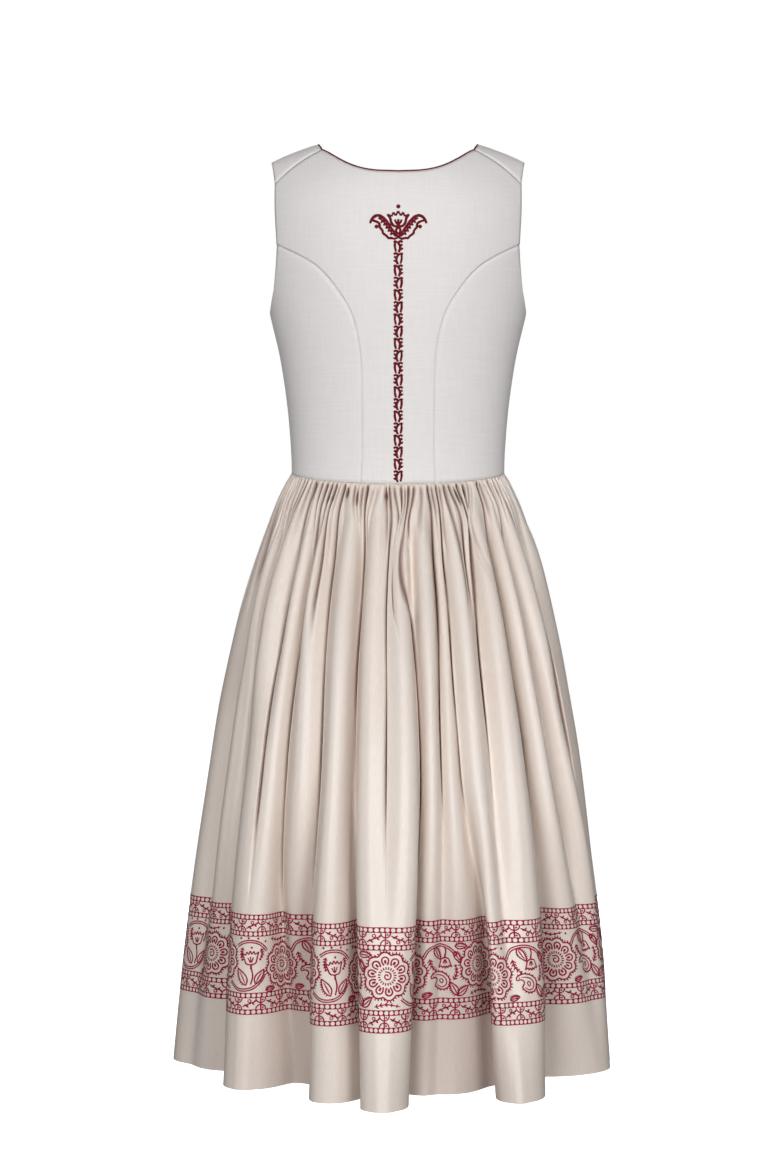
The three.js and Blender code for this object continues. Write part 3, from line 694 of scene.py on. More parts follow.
# ---- skirt ---------------------------------------------------------------------------------
def fold_value(values, height):
    """A fold's turn or reach at one height, from its upper, middle and hem values."""
    upper, middle, hem = values
    if height >= FOLD_UPPER:
        return upper
    first = (middle - upper) / (FOLD_UPPER - FOLD_MIDDLE)
    second = (hem - middle) / (FOLD_MIDDLE - HEM)
    slope = 2 * first * second / (first + second) if first * second > 0 else 0.0
    if height >= FOLD_MIDDLE:
        span = FOLD_UPPER - FOLD_MIDDLE
        return hermite(upper, middle, 0, slope * span, (FOLD_UPPER - height) / span)
    span = FOLD_MIDDLE - HEM
    return hermite(middle, hem, slope * span, second * 0.4 * span, (FOLD_MIDDLE - height) / span)


def valley_way(place, height, most=FOLD_LEAN):
    """Which way a valley runs in from a place on the outline.

    Above the hem folds lie over towards the sides of the skirt, so that its back and its front
    look into them.
    """
    lean = most * smooth((height - HEM) / (FOLD_MIDDLE - HEM))
    over = lean * math.tanh(3 * place.y / place.length) * abs(place.x)
    return Vector((-place.x * (1 - lean), -place.y - over))


def fold_points(folds, height):
    """Plan points of the fold lines at one height, with the way round the skirt at each.

    A crest runs broad and a valley pinches in, as satin folds do.
    """
    section = section_at(height)
    wide, deep, middle = section["half_width"], section["half_depth"], section["middle"]
    near = smooth((height - FOLDS_FULL) / (WAIST_SIDE - FOLDS_FULL))
    deepen = mix(1, UPPER_DEPTH, smooth((height - FOLD_MIDDLE) / (FOLD_UPPER - FOLD_MIDDLE)))
    outs = [fold_value(fold["out"], height) for fold in folds]
    points, ways, last = [], [], len(folds) - 1
    for fold, out in zip(folds, outs):
        turn = math.radians(fold_value(fold["turn"], height))
        depth = (1 - out) * deepen * (1 - near * (1 - WAIST_SOFTENING))
        sin, cos = math.sin(turn), math.cos(turn)
        x, y = -wide * sin, deep * cos
        points.append(Vector((x, y + middle)) + valley_way(Vector((x, y)), height) * depth)
        ways.append(Vector((-wide * cos, -deep * sin)).normalized())
    result = []
    for index, point in enumerate(points):
        before, after = max(0, index - 1), min(last, index + 1)
        stands_out = outs[index] - (outs[before] + outs[after]) / 2
        flow = 1.0 + CREST_BREADTH * math.tanh(stands_out / 0.04)
        way = ways[index]
        if 0 < index < last:
            behind, ahead = point - points[before], points[after] - point
            turned = behind.normalized() * ahead.length + ahead.normalized() * behind.length
            way = turned.normalized()
        result.append((point, way * flow))
    return result


def between_folds(start, end, t):
    pull = (end[0] - start[0]).length
    return Vector((hermite(start[0].x, end[0].x, start[1].x * pull, end[1].x * pull, t),
                   hermite(start[0].y, end[0].y, start[1].y * pull, end[1].y * pull, t)))


def column_plan(folds, count):
    """Shares the mesh columns among the folds by how far round the waist each one reaches."""
    lengths = [abs(b["turn"][0] - a["turn"][0]) for a, b in zip(folds, folds[1:])]
    spare, total = count - 3 * len(lengths), sum(lengths)
    plan, given, walked = [], 0, 0.0
    for k, length in enumerate(lengths):
        walked += length
        up_to = round(spare * walked / total)
        steps = 3 + up_to - given
        given = up_to
        plan += [(k, crowd(step / steps, folds, k)) for step in range(steps)]
    plan.append((len(lengths) - 1, 1.0))
    return plan


def crowd(t, folds, k):
    """Moves a mesh column towards the valley at one end of its stretch, where the cloth bends most."""
    inner = folds[k + 1]["out"][1] - folds[k]["out"][1]
    shift = COLUMN_CROWDING if inner < 0 else -COLUMN_CROWDING
    return t + shift * math.sin(math.pi * t) * (1 - 0.25 * t)


def front_folds():
    """The back's folds carried round the front, between the same two side seams."""
    result = []
    for index, fold in enumerate(reversed(BACK_FOLDS)):
        sway = math.sin(index * FRONT_SWAY_PITCH)
        if 0 < index < len(BACK_FOLDS) - 1:
            turn = tuple(180 - value * share + sway * FRONT_SWAY_TURN
                         for value, share in zip(fold["turn"], FRONT_SHARE))
            out = tuple(v + sway * FRONT_SWAY_OUT * (1 - v) * 4 for v in fold["out"])
        else:
            turn = tuple(v if v > 0 else v + 360 for v in fold["turn"])
            out = fold["out"]
        result.append({"turn": turn, "out": out})
    return result


def skirt_falls():
    """How far below the waist each mesh row lies: close in the gathers, wider apart below.

    Two more rows just over the hem keep its edge crisp.
    """
    length = SKIRT_TOP - HEM
    falls = [length * (0.24 * i / SKIRT_ROWS + 0.76 * (i / SKIRT_ROWS) ** 1.9)
             for i in range(SKIRT_ROWS + 1)]
    return falls[:-1] + [length - 2.0, length - 0.4, length]


def make_gathers(seed, shares, folds, plan):
    """The valleys between the pleats, each with its own depth and length.

    Every large fold's valley starts at one of them. Of those with no long one beside them some
    run half way down, and the rest are short. shares is how far round the waist seam each mesh
    column starts, and plan tells which fold the column belongs to.
    """
    chance = random.Random(seed)
    edges = [(i + chance.uniform(-0.3, 0.3)) / PLEATS for i in range(1, PLEATS)]
    kinds = ["short"] * len(edges)
    outs = [fold["out"][0] for fold in folds]
    for index in range(1, len(folds) - 1):
        if outs[index] < outs[index - 1] and outs[index] < outs[index + 1]:
            share = shares[next(j for j, (k, t) in enumerate(plan) if k == index)]
            nearest = min(range(len(edges)), key=lambda e: abs(edges[e] - share))
            edges[nearest] = share
            kinds[nearest] = "long"
    for share in LONG_NEAR_SIDES:
        nearest = min(range(len(edges)), key=lambda e: abs(edges[e] - share))
        if "long" not in kinds[nearest - 1:nearest + 2]:
            kinds[nearest] = "long"
    for index in range(len(edges)):
        beside = kinds[max(0, index - 1):index + 2]
        if "long" not in beside and chance.random() < 0.6:
            kinds[index] = "middle"
    valleys, steep = [], 1
    for share, kind in zip(edges, kinds):
        steep = -steep if chance.random() < 0.35 else steep
        valley = {name: chance.uniform(*ends) for name, ends in VALLEY_SIZES[kind].items()}
        valley["at"] = min(shares, key=lambda other: abs(other - share))
        valley["steep"], valley["wave"], valley["hole"] = steep, chance.uniform(16, 34), 0.0
        valleys.append(valley)
    for _ in range(HOLES):
        valley = valleys[chance.randrange(len(valleys))]
        valley["hole"] = chance.uniform(5.0, 8.0)
        valley["middle"], valley["reach"] = chance.uniform(13, 26), chance.uniform(7, 12)
    soft = []
    for index in range(SOFT_FOLDS):
        side = chance.uniform(0.03, 0.3)
        soft.append({"at": side if index % 2 else 1 - side, "depth": chance.uniform(3, 6),
                     "wide": chance.uniform(0.022, 0.04), "from": chance.uniform(70, 260),
                     "stop": chance.uniform(380, 520)})
    return {"valleys": valleys, "soft": soft, "seed": seed}


def gather_sway(seed, share, fall):
    """How far the pleats lean together below the seam, in mesh columns: they bunch and part."""
    reach = smooth(fall / 55) * (1 - smooth((fall - 70) / 190))
    edge = smooth(min(share, 1 - share) / 0.12)
    return SWAY * reach * edge * noise.noise(Vector((share * 17, fall / 300, seed + 9)))


def gather_rise(gathers, share, fall):
    """How far the gathered cloth lies from the large folds' own surface, and how much painted shade its
    colour takes in the creases.
    """
    total, painted_shading = 0.0, 0.0
    lapped = smooth((fall - LAP_STARTS) / LAP_REACH)
    for valley in gathers["valleys"]:
        side = 1 if share > valley["at"] else -1
        distance = abs(share - valley["at"]) * PLEATS
        if distance > 0.9:
            continue
        breadths, bends = STEEP_SIDE if side == valley["steep"] else LONG_SIDE
        wide, power = mix(*breadths, lapped), mix(*bends, lapped)
        depth = valley["depth"] * smooth((fall + 2) / 12)
        depth *= 1 - smooth((fall - valley["stop"]) / valley["fade"])
        depth *= 1 - 0.25 * lapped * (1 + math.sin(fall / valley["wave"] + valley["steep"]))
        if distance < wide:
            total -= depth * (1 - distance / wide) ** power
        # painted shade in the creases: darker where the valley is deeper, and darkest down the middle
        # of a hole
        painted_shading = max(painted_shading, smooth(depth / 10) * (1 - smooth(distance / 0.24)))
        if valley["hole"] and abs(fall - valley["middle"]) < valley["reach"]:
            gape = HOLE_GAPE * (1 - ((fall - valley["middle"]) / valley["reach"]) ** 2)
            if distance < gape:
                total -= valley["hole"] * (1 - (distance / gape) ** 4)
                painted_shading = max(painted_shading, 1 - (distance / gape) ** 2)
    for fold in gathers["soft"]:
        distance = abs(share - fold["at"]) / fold["wide"]
        if distance < 1:
            total -= (fold["depth"] * (1 - smooth(distance)) * smooth((fall - fold["from"]) / 90)
                      * (1 - smooth((fall - fold["stop"]) / 150)))
    where = Vector((share * 11, fall / 120, gathers["seed"]))
    ripple = smooth(fall / 60) * (1 - smooth((fall - 180) / 260))
    return total + RIPPLE * ripple * noise.noise(where), painted_shading


def between_columns(places, at):
    low = min(len(places) - 2, max(0, int(at)))
    return places[low].lerp(places[low + 1], at - low)


def flat_row(folds, plan, height, fall):
    """The large folds' own line round the skirt at one height, before it is gathered."""
    section = section_at(height)
    wide, deep = section["half_width"] * EVEN_SHARE, section["half_depth"] * EVEN_SHARE
    first_turn, last_turn = folds[0]["turn"][0], folds[-1]["turn"][0]
    lines = fold_points(folds, height)
    evenly = EVENED * (1 - smooth(fall / EVENED_UNTIL))
    row = []
    for j, (k, t) in enumerate(plan):
        folded = between_folds(lines[k], lines[k + 1], t)
        turn = math.radians(mix(first_turn, last_turn, j / (len(plan) - 1)))
        even = Vector((-wide * math.sin(turn), deep * math.cos(turn) + section["middle"]))
        row.append(folded.lerp(even, evenly))
    return row


def skirt_grid(folds, seed):
    """Every mesh point of one width of the skirt, from the waist seam down, and the painted shade in
    its creases and fold valleys.
    """
    plan = column_plan(folds, SKIRT_COLUMNS)
    last = len(plan) - 1
    grid, painted_shading_grid, seats, gathers, shares = [], [], None, None, None
    for fall in skirt_falls():
        height = WAIST_SIDE - fall - (WAIST_SIDE - SKIRT_TOP) * smooth(fall / SEAM_DIP_ENDS)
        section = section_at(height)
        flat = flat_row(folds, plan, height, fall)
        if shares is None:
            walked = walk(flat)
            shares = [distance / walked[-1] for distance in walked]
            gathers = make_gathers(seed, shares, folds, plan)
        flat = [between_columns(flat, j + gather_sway(seed, shares[j], fall))
                for j in range(last + 1)]
        line, painted_shading = [], []
        for j, place in enumerate(flat):
            spoke = Vector((place.x, place.y - section["middle"]))
            facing = abs(spoke.y) / spoke.length
            outward = -valley_way(spoke, height, PLEAT_LEAN * smooth(facing / 0.6)).normalized()
            calm = mix(0.6, 1, smooth(facing / 0.45))
            around_side = abs(math.cos(math.atan2(place.x, place.y)))
            seam_height = WAIST_SIDE - WAIST_DIP * around_side
            z = SKIRT_TOP - fall + (seam_height - SKIRT_TOP) * (1 - smooth(fall / SEAM_DIP_ENDS))
            edge = smooth(min(j, last - j) / 5)
            rise, painted_crease_shade = gather_rise(gathers, shares[j], fall)
            rise *= edge * calm
            tuck = SEAM_TUCK * (1 - smooth(min(j, last - j) / 4))
            place = place + outward * (rise - tuck)
            line.append(Vector((place.x, place.y, z)))
            sunk = 1 - math.hypot(spoke.x / section["half_width"], spoke.y / section["half_depth"])
            # painted shade: strongest in the pleats' creases, weaker and broader in the large folds'
            # valleys
            painted_shading.append(max(PLEAT_PAINTED_SHADE * painted_crease_shade * edge, FOLD_VALLEY_PAINTED_SHADE * smooth((sunk - 0.05) / 0.3)))
        if seats is None:
            seats = [waist_seat(point) - point for point in line]
        hold = 1 - smooth(fall / 10)
        grid.append([point + seat * hold for point, seat in zip(line, seats)])
        painted_shading_grid.append(painted_shading)
    return grid, painted_shading_grid


def waist_seat(point):
    """Where the top of the skirt meets the bodice's own outline at the waist seam."""
    half_width = figure_at(waist_row(math.pi / 2, 1))["half_width"]
    side = 1 if point.y >= 0 else -1
    depth = abs(figure_at(waist_row(0.0, side))["depth"])
    turn = math.atan2(-point.x / half_width, abs(point.y) / depth)
    seat = body_point(turn, waist_row(turn, side))
    return Vector((seat.x, seat.y, seat.z - SEAM_GAP / 2))


def cloth_widths(grid):
    """Distance along the cloth of each mesh column, measured where the border is printed."""
    return walk(min(grid, key=lambda line: abs(line[0].z - PRINT_LEVEL)))


def build_skirt():
    """Both widths of the skirt, each with its printed border."""
    for name, folds, seed in (("back", BACK_FOLDS, 5), ("front", front_folds(), 11)):
        grid, painted_shading_grid = skirt_grid(folds, seed)
        widths = cloth_widths(grid)
        uvs = [[(widths[j], point.z) for j, point in enumerate(line)] for line in grid]
        piece = cloth_sheet("skirt_" + name + "_satin", grid, uvs, SATIN, SATIN_WALL,
                            painted_shading_grid)
        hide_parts("skirt_" + name)
        border = build_print(name, grid, widths)


# ---- print and embroidery ------------------------------------------------------------------
DRAWN_STEP = 2.4
UNEVEN = (0.88, 1.12)     # each line's width swells and shrinks a little along it
QUICK_SIZE = 400          # corners drawn before a mesh is set aside
PRINT_LIFT, PRINT_BOLD = 0.3, 1.17

# The border's foot above the hem, the heights of its rows, and how wide each repeat is.
BORDER = {"foot": 88, "beads": 6.3, "narrow": 13.0, "floral": 65.4, "repeat": 172, "bead": 5.9,
          "fan": 25.5}
BEAD_RADIUS, FAN_RADIUS = 2.35, 5.4

CREST_FOOT = -121.5
CREST_BOLD, CROWN_LINE, CREST_DOTS = 2.15, 2.3, (2.4, 2.6)
SPRIGS, SPRIGS_TOP, SPRIGS_FOOT, SPRIG_BOLD = 20, -126.5, -405.5, 1.18


class Needle:
    """Draws lines and dots on a cloth as thin strips of mesh that follow its surface.

    surface(u, v) gives a point of the cloth and its outward way. crown raises the middle of
    each line, as stitches stand up and printing ink doesn't.
    """

    def __init__(self, surface, lift, crown, seed, bold=1.0):
        self.bm = bmesh.new()
        self.done = []
        self.surface = surface
        self.lift = lift
        self.crown = crown
        self.bold = bold
        self.reach = None
        self.chance = random.Random(seed)

    def set_aside(self, limit=0):
        """Keeps what is drawn so far, as drawing stays quick on a small mesh."""
        if len(self.bm.verts) > limit:
            mesh = bpy.data.meshes.new("drawn")
            self.bm.to_mesh(mesh)
            self.bm.clear()
            self.done.append(mesh)

    def off_cloth(self, knots):
        """Whether a motif lies wholly past the cloth's cut edge."""
        across = [knot[0] for knot in knots]
        return self.reach is not None and (max(across) < 2 or min(across) > self.reach - 2)

    def put(self, vertex, u, v, height):
        point, outward = self.surface(u, v)
        vertex.co = (point + outward * height) * MM

    def line(self, knots, width, taper=0.0):
        """A smooth line through its knots, thinner towards both ends by the taper."""
        self.set_aside(QUICK_SIZE)
        if self.off_cloth(knots):
            return
        fine = [catmull(knots, i / (6 * (len(knots) - 1))) for i in range(6 * len(knots) - 5)]
        points = [Vector(place) for place in fine]
        count = max(2, math.ceil(walk(points)[-1] / DRAWN_STEP))
        middle = [Vector(place) for place in even_steps(fine, points, count)]
        across = 2 if self.crown else 1
        made = bmesh.ops.create_grid(self.bm, x_segments=count, y_segments=across, size=0.5)
        uneven = [self.chance.uniform(*UNEVEN) for _ in middle]
        for vertex in made["verts"]:
            i = round((vertex.co.x + 0.5) * count)
            side = vertex.co.y * 2
            along = (middle[min(count, i + 1)] - middle[max(0, i - 1)]).normalized()
            end = min(i, count - i) / count
            half = width * self.bold / 2 * uneven[i] * (1 - taper * (1 - smooth(end * 4)))
            place = middle[i] + Vector((-along.y, along.x)) * side * half
            self.put(vertex, place.x, place.y, self.lift + self.crown * (1 - abs(side)))

    def polygon(self, knots, width):
        """Straight lines from knot to knot."""
        for start, end in zip(knots, knots[1:]):
            self.line([start, end], width)

    def dot(self, centre, radius, sides=8):
        if self.off_cloth([centre]):
            return
        made = bmesh.ops.create_circle(self.bm, cap_ends=True, cap_tris=True, segments=sides,
                                       radius=1.0)
        for vertex in made["verts"]:
            x, y = vertex.co.x, vertex.co.y
            rise = self.crown * (1 - min(1.0, math.hypot(x, y)))
            self.put(vertex, centre[0] + radius * x, centre[1] + radius * y, self.lift + rise)

    def finish(self, name, material, slot):
        self.set_aside()
        for mesh in self.done:
            self.bm.from_mesh(mesh)
            bpy.data.meshes.remove(mesh)
        bmesh.ops.recalc_face_normals(self.bm, faces=self.bm.faces)
        for face in self.bm.faces:
            centre = face.calc_center_median()
            if face.normal.x * centre.x + face.normal.y * centre.y < 0:
                face.normal_flip()
        return finish_mesh(name, self.bm, material)


def placed(knots, place, turn=0.0, scale=1.0, flip=1):
    """A motif's own points, moved to where it stands on the cloth."""
    sin, cos = math.sin(math.radians(turn)), math.cos(math.radians(turn))
    return [(place[0] + scale * (flip * x * cos - y * sin),
             place[1] + scale * (flip * x * sin + y * cos)) for x, y in knots]


def pen(needle, place, turn=0.0, scale=1.0, flip=1, bold=1.0):
    """A way to draw a motif's lines in its own measures, where the motif stands on the cloth."""
    def draw(knots, thick, taper=0.0):
        needle.line(placed(knots, place, turn, scale, flip), thick * bold, taper)

    return draw


def around(radius, degrees):
    return radius * math.cos(math.radians(degrees)), radius * math.sin(math.radians(degrees))


def rosette(needle, place, turn, scale):
    """A ten-petalled flower round a small spiral, inside a scalloped and toothed outline."""
    draw = pen(needle, place, turn, scale)
    pitch = 36
    for petal in range(10):
        draw([around(21.6 + 3.2 * math.sin(math.pi * t / 6), pitch * (petal + t / 6))
              for t in range(7)], 1.6)
        for t in range(5):
            angle = pitch * (petal + (t + 0.5) / 5)
            reach = 22.4 + 3.2 * math.sin(math.pi * (t + 0.5) / 5)
            draw([around(reach, angle), around(reach + 1.8, angle + 2)], 1.25)
        middle = pitch * (petal + 0.5)
        ways = [(11.6, -8.5), (15.4, -13), (18.6, -9.5), (19.9, 0), (18.6, 9.5), (15.4, 13),
                (11.6, 8.5)]
        draw([around(radius, middle + way) for radius, way in ways], 1.6)
        draw([around(13.0, middle), around(16.8, middle)], 2.2)
        for t in range(2):
            angle = pitch * (petal + t / 2)
            draw([around(9.6, angle), around(6.8, angle)], 1.3)
    draw([around(1.2 + 0.42 * t, 52 * t) for t in range(10)], 1.4)


def serrated_leaf(needle, place, turn, length, width, flip):
    """A bent lens-shaped leaf with a vein and a row of teeth down one edge."""
    draw = pen(needle, place, turn, 1.0, flip)

    def edge(t, side):
        return length * t, side * width * math.sin(math.pi * t ** 0.8) + 0.16 * length * t * t

    draw([edge(t / 5, 1) for t in range(6)], 1.45)
    draw([edge(t / 5, -1) for t in range(6)], 1.45)
    draw([edge(0.12 + t / 6, 0) for t in range(5)], 1.3, 0.5)
    for t in range(1, 8):
        start = edge(t / 8, 1)
        draw([start, (start[0] - 1.0, start[1] + 2.2)], 1.1)


def tulip(needle, place, turn, scale):
    """A bud with flared sides, a zigzag crown and three rays."""
    draw = pen(needle, place, turn, scale)
    for side in (1, -1):
        draw([(0, 0), (side * 5.5, 1.5), (side * 7.5, 7), (side * 10, 14)], 1.5)
        draw([(side * 0.6, 2.5), (side * 3.2, 8.5)], 1.25)
        needle.polygon(placed([(side * 10, 14), (side * 5.6, 11.6), (side * 4.2, 15.4),
                               (side * 1.8, 12.2), (0, 16.4)], place, turn, scale), 1.35)
    draw([(0, 3), (0, 9.6)], 1.3)
    draw([(0, 0), (-0.6, -5)], 2.0)


def paisley(needle, place, turn, scale):
    """A curved drop with a second line inside and short hatching between the two."""
    draw = pen(needle, place, turn, scale)
    outer = [(0, 0), (5, -6), (12, -8), (18, -4), (19, 4), (14, 11), (5, 15), (-3, 13), (-5, 9),
             (1, 9), (4, 5), (0, 0)]
    inner = [(3.5, -0.5), (8, -4.5), (13, -4), (15.5, 1), (13, 7), (7, 10.6), (1.5, 11.6)]
    draw(outer, 1.5)
    draw(inner, 1.25, 0.4)
    for t in range(14):
        start = catmull(outer, 0.03 + t * 0.045)
        beside = catmull(outer, 0.05 + t * 0.045)
        along = Vector((beside[0] - start[0], beside[1] - start[1])).normalized()
        draw([start, (start[0] + along.y * 2.1, start[1] - along.x * 2.1)], 1.05)
    draw([(7, 3.5), (9.5, -0.5), (11.5, 2), (9.5, 5.5), (7, 3.5)], 1.25)
    needle.dot(placed([(-1, 11.2)], place, turn, scale)[0], 0.9 * scale, 6)


def plume(needle, knots, reach):
    """A fern: a bent midrib with leaflets to both sides that shorten towards its tip."""
    needle.line(knots, 1.35, 0.4)
    for i in range(5):
        t = 0.08 + i / 5.5
        here, ahead = catmull(knots, t), catmull(knots, t + 0.04)
        along = Vector((ahead[0] - here[0], ahead[1] - here[1])).normalized()
        longest = reach * (1 - 0.5 * t)
        for side in (1, -1):
            tip = (here[0] + longest * (1.1 * along.x - side * along.y),
                   here[1] + longest * (1.1 * along.y + side * along.x))
            needle.line([here, tip], 1.3, 0.4)


def vine(needle, knots):
    """Two stem lines side by side."""
    spine = [Vector(place) for place in knots]
    for side in (1.25, -1.25):
        shifted = []
        for i, point in enumerate(spine):
            along = (spine[min(len(spine) - 1, i + 1)] - spine[max(0, i - 1)]).normalized()
            shifted.append((point.x - along.y * side, point.y + along.x * side))
        needle.line(shifted, 1.3)


def bead_row(needle, width, bottom):
    """Light round beads left open in a red band: the red between two beads is an hourglass."""
    count = round(width / BORDER["bead"])
    pitch, half, bead = width / count, BORDER["beads"] / 2, BEAD_RADIUS
    for gap in range(count):
        needle.set_aside(QUICK_SIZE)
        made = bmesh.ops.create_grid(needle.bm, x_segments=2, y_segments=6, size=0.5)
        heights = (-half, -bead, -0.72 * bead, 0, 0.72 * bead, bead, half)
        for vertex in made["verts"]:
            high = heights[round((vertex.co.y + 0.5) * 6)]
            open_half = math.sqrt(max(0.0, bead * bead - high * high))
            u = pitch * (gap + 0.5) + vertex.co.x * 2 * (pitch / 2 - open_half)
            needle.put(vertex, u, bottom + half + high, needle.lift)


def fan_band(needle, width, middle):
    """Upright bars with a quarter fan in each corner, and a leafy twig and a ring between them."""
    count = 2 * round(width / BORDER["fan"] / 2)
    pitch, half = width / count, BORDER["narrow"] / 2
    for unit in range(count):
        over = 1 if unit % 2 else -1

        def at(knots):
            return placed([(x, y * over) for x, y in knots], (pitch * (unit + 0.5), middle))

        bar = -pitch / 2
        needle.line(at([(bar, half), (bar, -half)]), 1.35)
        for side in (1, -1):
            for across in (1, -1):
                fan = [(bar + across * FAN_RADIUS * math.cos(a),
                        side * (half - FAN_RADIUS * math.sin(a))) for a in (0, 0.5, 1.05, 1.57)]
                needle.line(at(fan), 1.3)
            needle.line(at([(bar + 1.2, side * (half - 2.6)), (bar + 3.0, side * (half - 1.4))]), 1.5)
        needle.line(at([(-6.8, -3.4), (-3.0, -1.6), (1.4, 0.6), (7.4, 2.6)]), 1.5, 0.3)
        for x, y, lean in ((-5.4, -2.8, 1), (-3.0, -1.6, -1), (3.2, 1.2, -1), (5.2, 1.9, 1)):
            needle.line(at([(x, y), (x + 2.8, y + 2.3 * lean)]), 1.9, 0.5)
        ring = [(0.6 + 1.9 * math.cos(a), 3.4 + 1.9 * math.sin(a))
                for a in (0, 1.26, 2.51, 3.77, 5.03, 6.28)]
        needle.line(at(ring), 1.2)


def floral_repeat(needle, origin, stretch):
    """One repeat of the wide band: rosettes, tulips, leaves, ferns and a paisley between vines."""
    middle = BORDER["foot"] + 2 * BORDER["beads"] + BORDER["narrow"] + BORDER["floral"] / 2

    def at(x, y):
        return origin + x * stretch, middle + y

    def leaves(rows):
        for x, y, turn, length, width, flip in rows:
            serrated_leaf(needle, at(x, y), turn, length, width, flip)

    rosette(needle, at(28, 4.5), 8, 1.08)
    rosette(needle, at(112, -3.5), 26, 1.06)
    for stems in ([(44, -21), (56, -29), (70, -28), (80, -20), (85, -11)],
                  [(132, 15), (138, 25), (150, 29), (163, 25), (171, 17)],
                  [(53, 21), (61, 26), (71, 27), (80, 24), (88, 16)]):
        vine(needle, [at(x, y) for x, y in stems])
    tulip(needle, at(70, 0), 6, 1.0)
    needle.line([at(70, -3), at(72, -13), at(70, -23)], 1.6)
    leaves([(65, -24, 110, 22, 4.4, 1), (75, -22, 248, 19, 4.0, -1), (0, -30, 32, 17, 3.6, 1),
            (86, -30, -4, 13, 2.4, 1), (-3, 28.5, -12, 16, 3.2, 1)])
    paisley(needle, at(147, -17), 10, 0.98)
    tulip(needle, at(158, 14), 184, 0.78)
    needle.line([at(158, 16), at(159, 22), at(157, 27)], 1.6)
    leaves([(144, 27, -66, 18, 3.6, 1), (169, 22, -70, 16, 3.2, 1), (132, -30, 4, 13, 2.4, 1),
            (173, -30, 112, 19, 3.8, 1)])
    for reach, knots in ((3.4, [(138.5, 14), (141, 5), (148, -1)]),
                         (3.2, [(168, -12), (171.5, -3), (169.5, 7)]),
                         (2.9, [(15, -29.5), (28, -26.5), (43, -29.5)]),
                         (2.7, [(94, 29.5), (108, 26.5), (122, 29.5)]),
                         (2.6, [(60, 20), (58.5, 12), (60.5, 4)]),
                         (2.6, [(80.5, 19), (82.5, 12), (79, 5)])):
        plume(needle, [at(x, y) for x, y in knots], reach)
    for x, y in ((57, 30.5), (66, 31), (77, 30.5), (86, 27), (126, 28), (140, -26), (70, 20)):
        needle.dot(at(x, y), 1.5, 6)


def cloth_surface(grid, widths):
    """Where a place of the flat skirt cloth lies once it is gathered: u across, v up the cloth."""
    heights = [line[0].z for line in grid]

    def between(values, value):
        low, high = 0, len(values) - 1
        while high - low > 1:
            middle = (low + high) // 2
            if (values[middle] - value) * (values[-1] - values[0]) <= 0:
                low = middle
            else:
                high = middle
        t = (value - values[low]) / (values[high] - values[low])
        return low, min(1.0, max(0.0, t))

    def surface(u, v):
        j, a = between(widths, min(max(u, 0.3), widths[-1] - 0.3))
        i, b = between(heights, HEM + v)
        p, q = grid[i][j], grid[i][j + 1]
        r, s = grid[i + 1][j], grid[i + 1][j + 1]
        top, bottom = p.lerp(q, a), r.lerp(s, a)
        outward = (q - p).lerp(s - r, b).cross(bottom - top).normalized()
        return top.lerp(bottom, b), -outward if surface.flip else outward

    surface.flip = False
    middle = surface(widths[-1] / 2, 300)
    surface.flip = middle[0].y * middle[1].y < 0
    return surface


def build_print(name, grid, widths):
    needle = Needle(cloth_surface(grid, widths), PRINT_LIFT, 0.0, 21, PRINT_BOLD)
    width = widths[-1]
    beads, narrow, foot = BORDER["beads"], BORDER["narrow"], BORDER["foot"]
    upper = foot + 2 * beads + narrow + BORDER["floral"]
    for bottom in (foot, foot + beads + narrow, upper, upper + beads + narrow):
        bead_row(needle, width, bottom)
    fan_band(needle, width, foot + beads + narrow / 2)
    fan_band(needle, width, upper + beads + narrow / 2)
    needle.reach = width
    repeats = round(width / BORDER["repeat"])
    for repeat in range(repeats + 1):
        floral_repeat(needle, width * (repeat - 0.79) / repeats, width / repeats / BORDER["repeat"])
    return needle.finish("border_print_" + name, PRINT_RED, "skirt_satin")


def back_surface(x, z):
    """A point of the bodice's back and its outward way."""
    turn, row = locate((1, "a", abs(x), z))
    turn = turn if x <= 0 else -turn
    return body_point(turn, row), body_normal(turn, row)


def crest(needle, place):
    """A tulip between two rolled leaves, with three dots."""
    for side in (1, -1):
        draw = pen(needle, place, flip=side, bold=CREST_BOLD)
        draw([(0, 0), (6.5, 7.5), (12.5, 16.5), (18.5, 23), (24.5, 25), (30, 21.5), (32.6, 15.6)],
             1.7, 0.25)
        draw([(2.5, 0.5), (8.5, 6.5), (14, 14.5), (18.5, 19.5), (23, 22)], 1.3, 0.2)
        draw([(0, 0), (4, -2.3), (8, -1.2), (11, -1.6), (14, 1.6), (17.5, 4), (18.5, 8), (21.4, 11),
              (22, 15.5), (25.5, 17.8), (30.5, 19.6)], 1.4, 0.1)
        for x, y in ((7.5, 4.6), (10.4, 8.4), (12.8, 12), (15.4, 15.6), (18.4, 18.6)):
            draw([(x, y), (x + 1.6, y - 2.6)], 1.3, 0.4)
        needle.dot(placed([(25.2, 12)], place, 0, 1, side)[0], CREST_DOTS[0])
        draw([(0, 12.4), (4.6, 12.4), (8.2, 16.6), (9.4, 22), (12.6, 26)], 1.5, 0.1)
        crown = [(12.6, 26), (7.6, 23.8), (5.6, 28.6), (3, 24.6), (0, 30)]
        needle.polygon(placed(crown, place, 0, 1, side), CROWN_LINE)
        draw([(0.8, 14), (2.6, 17), (4.2, 20.2)], 1.2, 0.2)
        draw([(0, 11.8), (2.6, 8), (1.8, 5), (0, 3)], 1.3)
    draw = pen(needle, place, bold=CREST_BOLD)
    draw([(0, 13), (0, 20.6)], 1.3)
    needle.dot((place[0], place[1] + 35.4), CREST_DOTS[1])


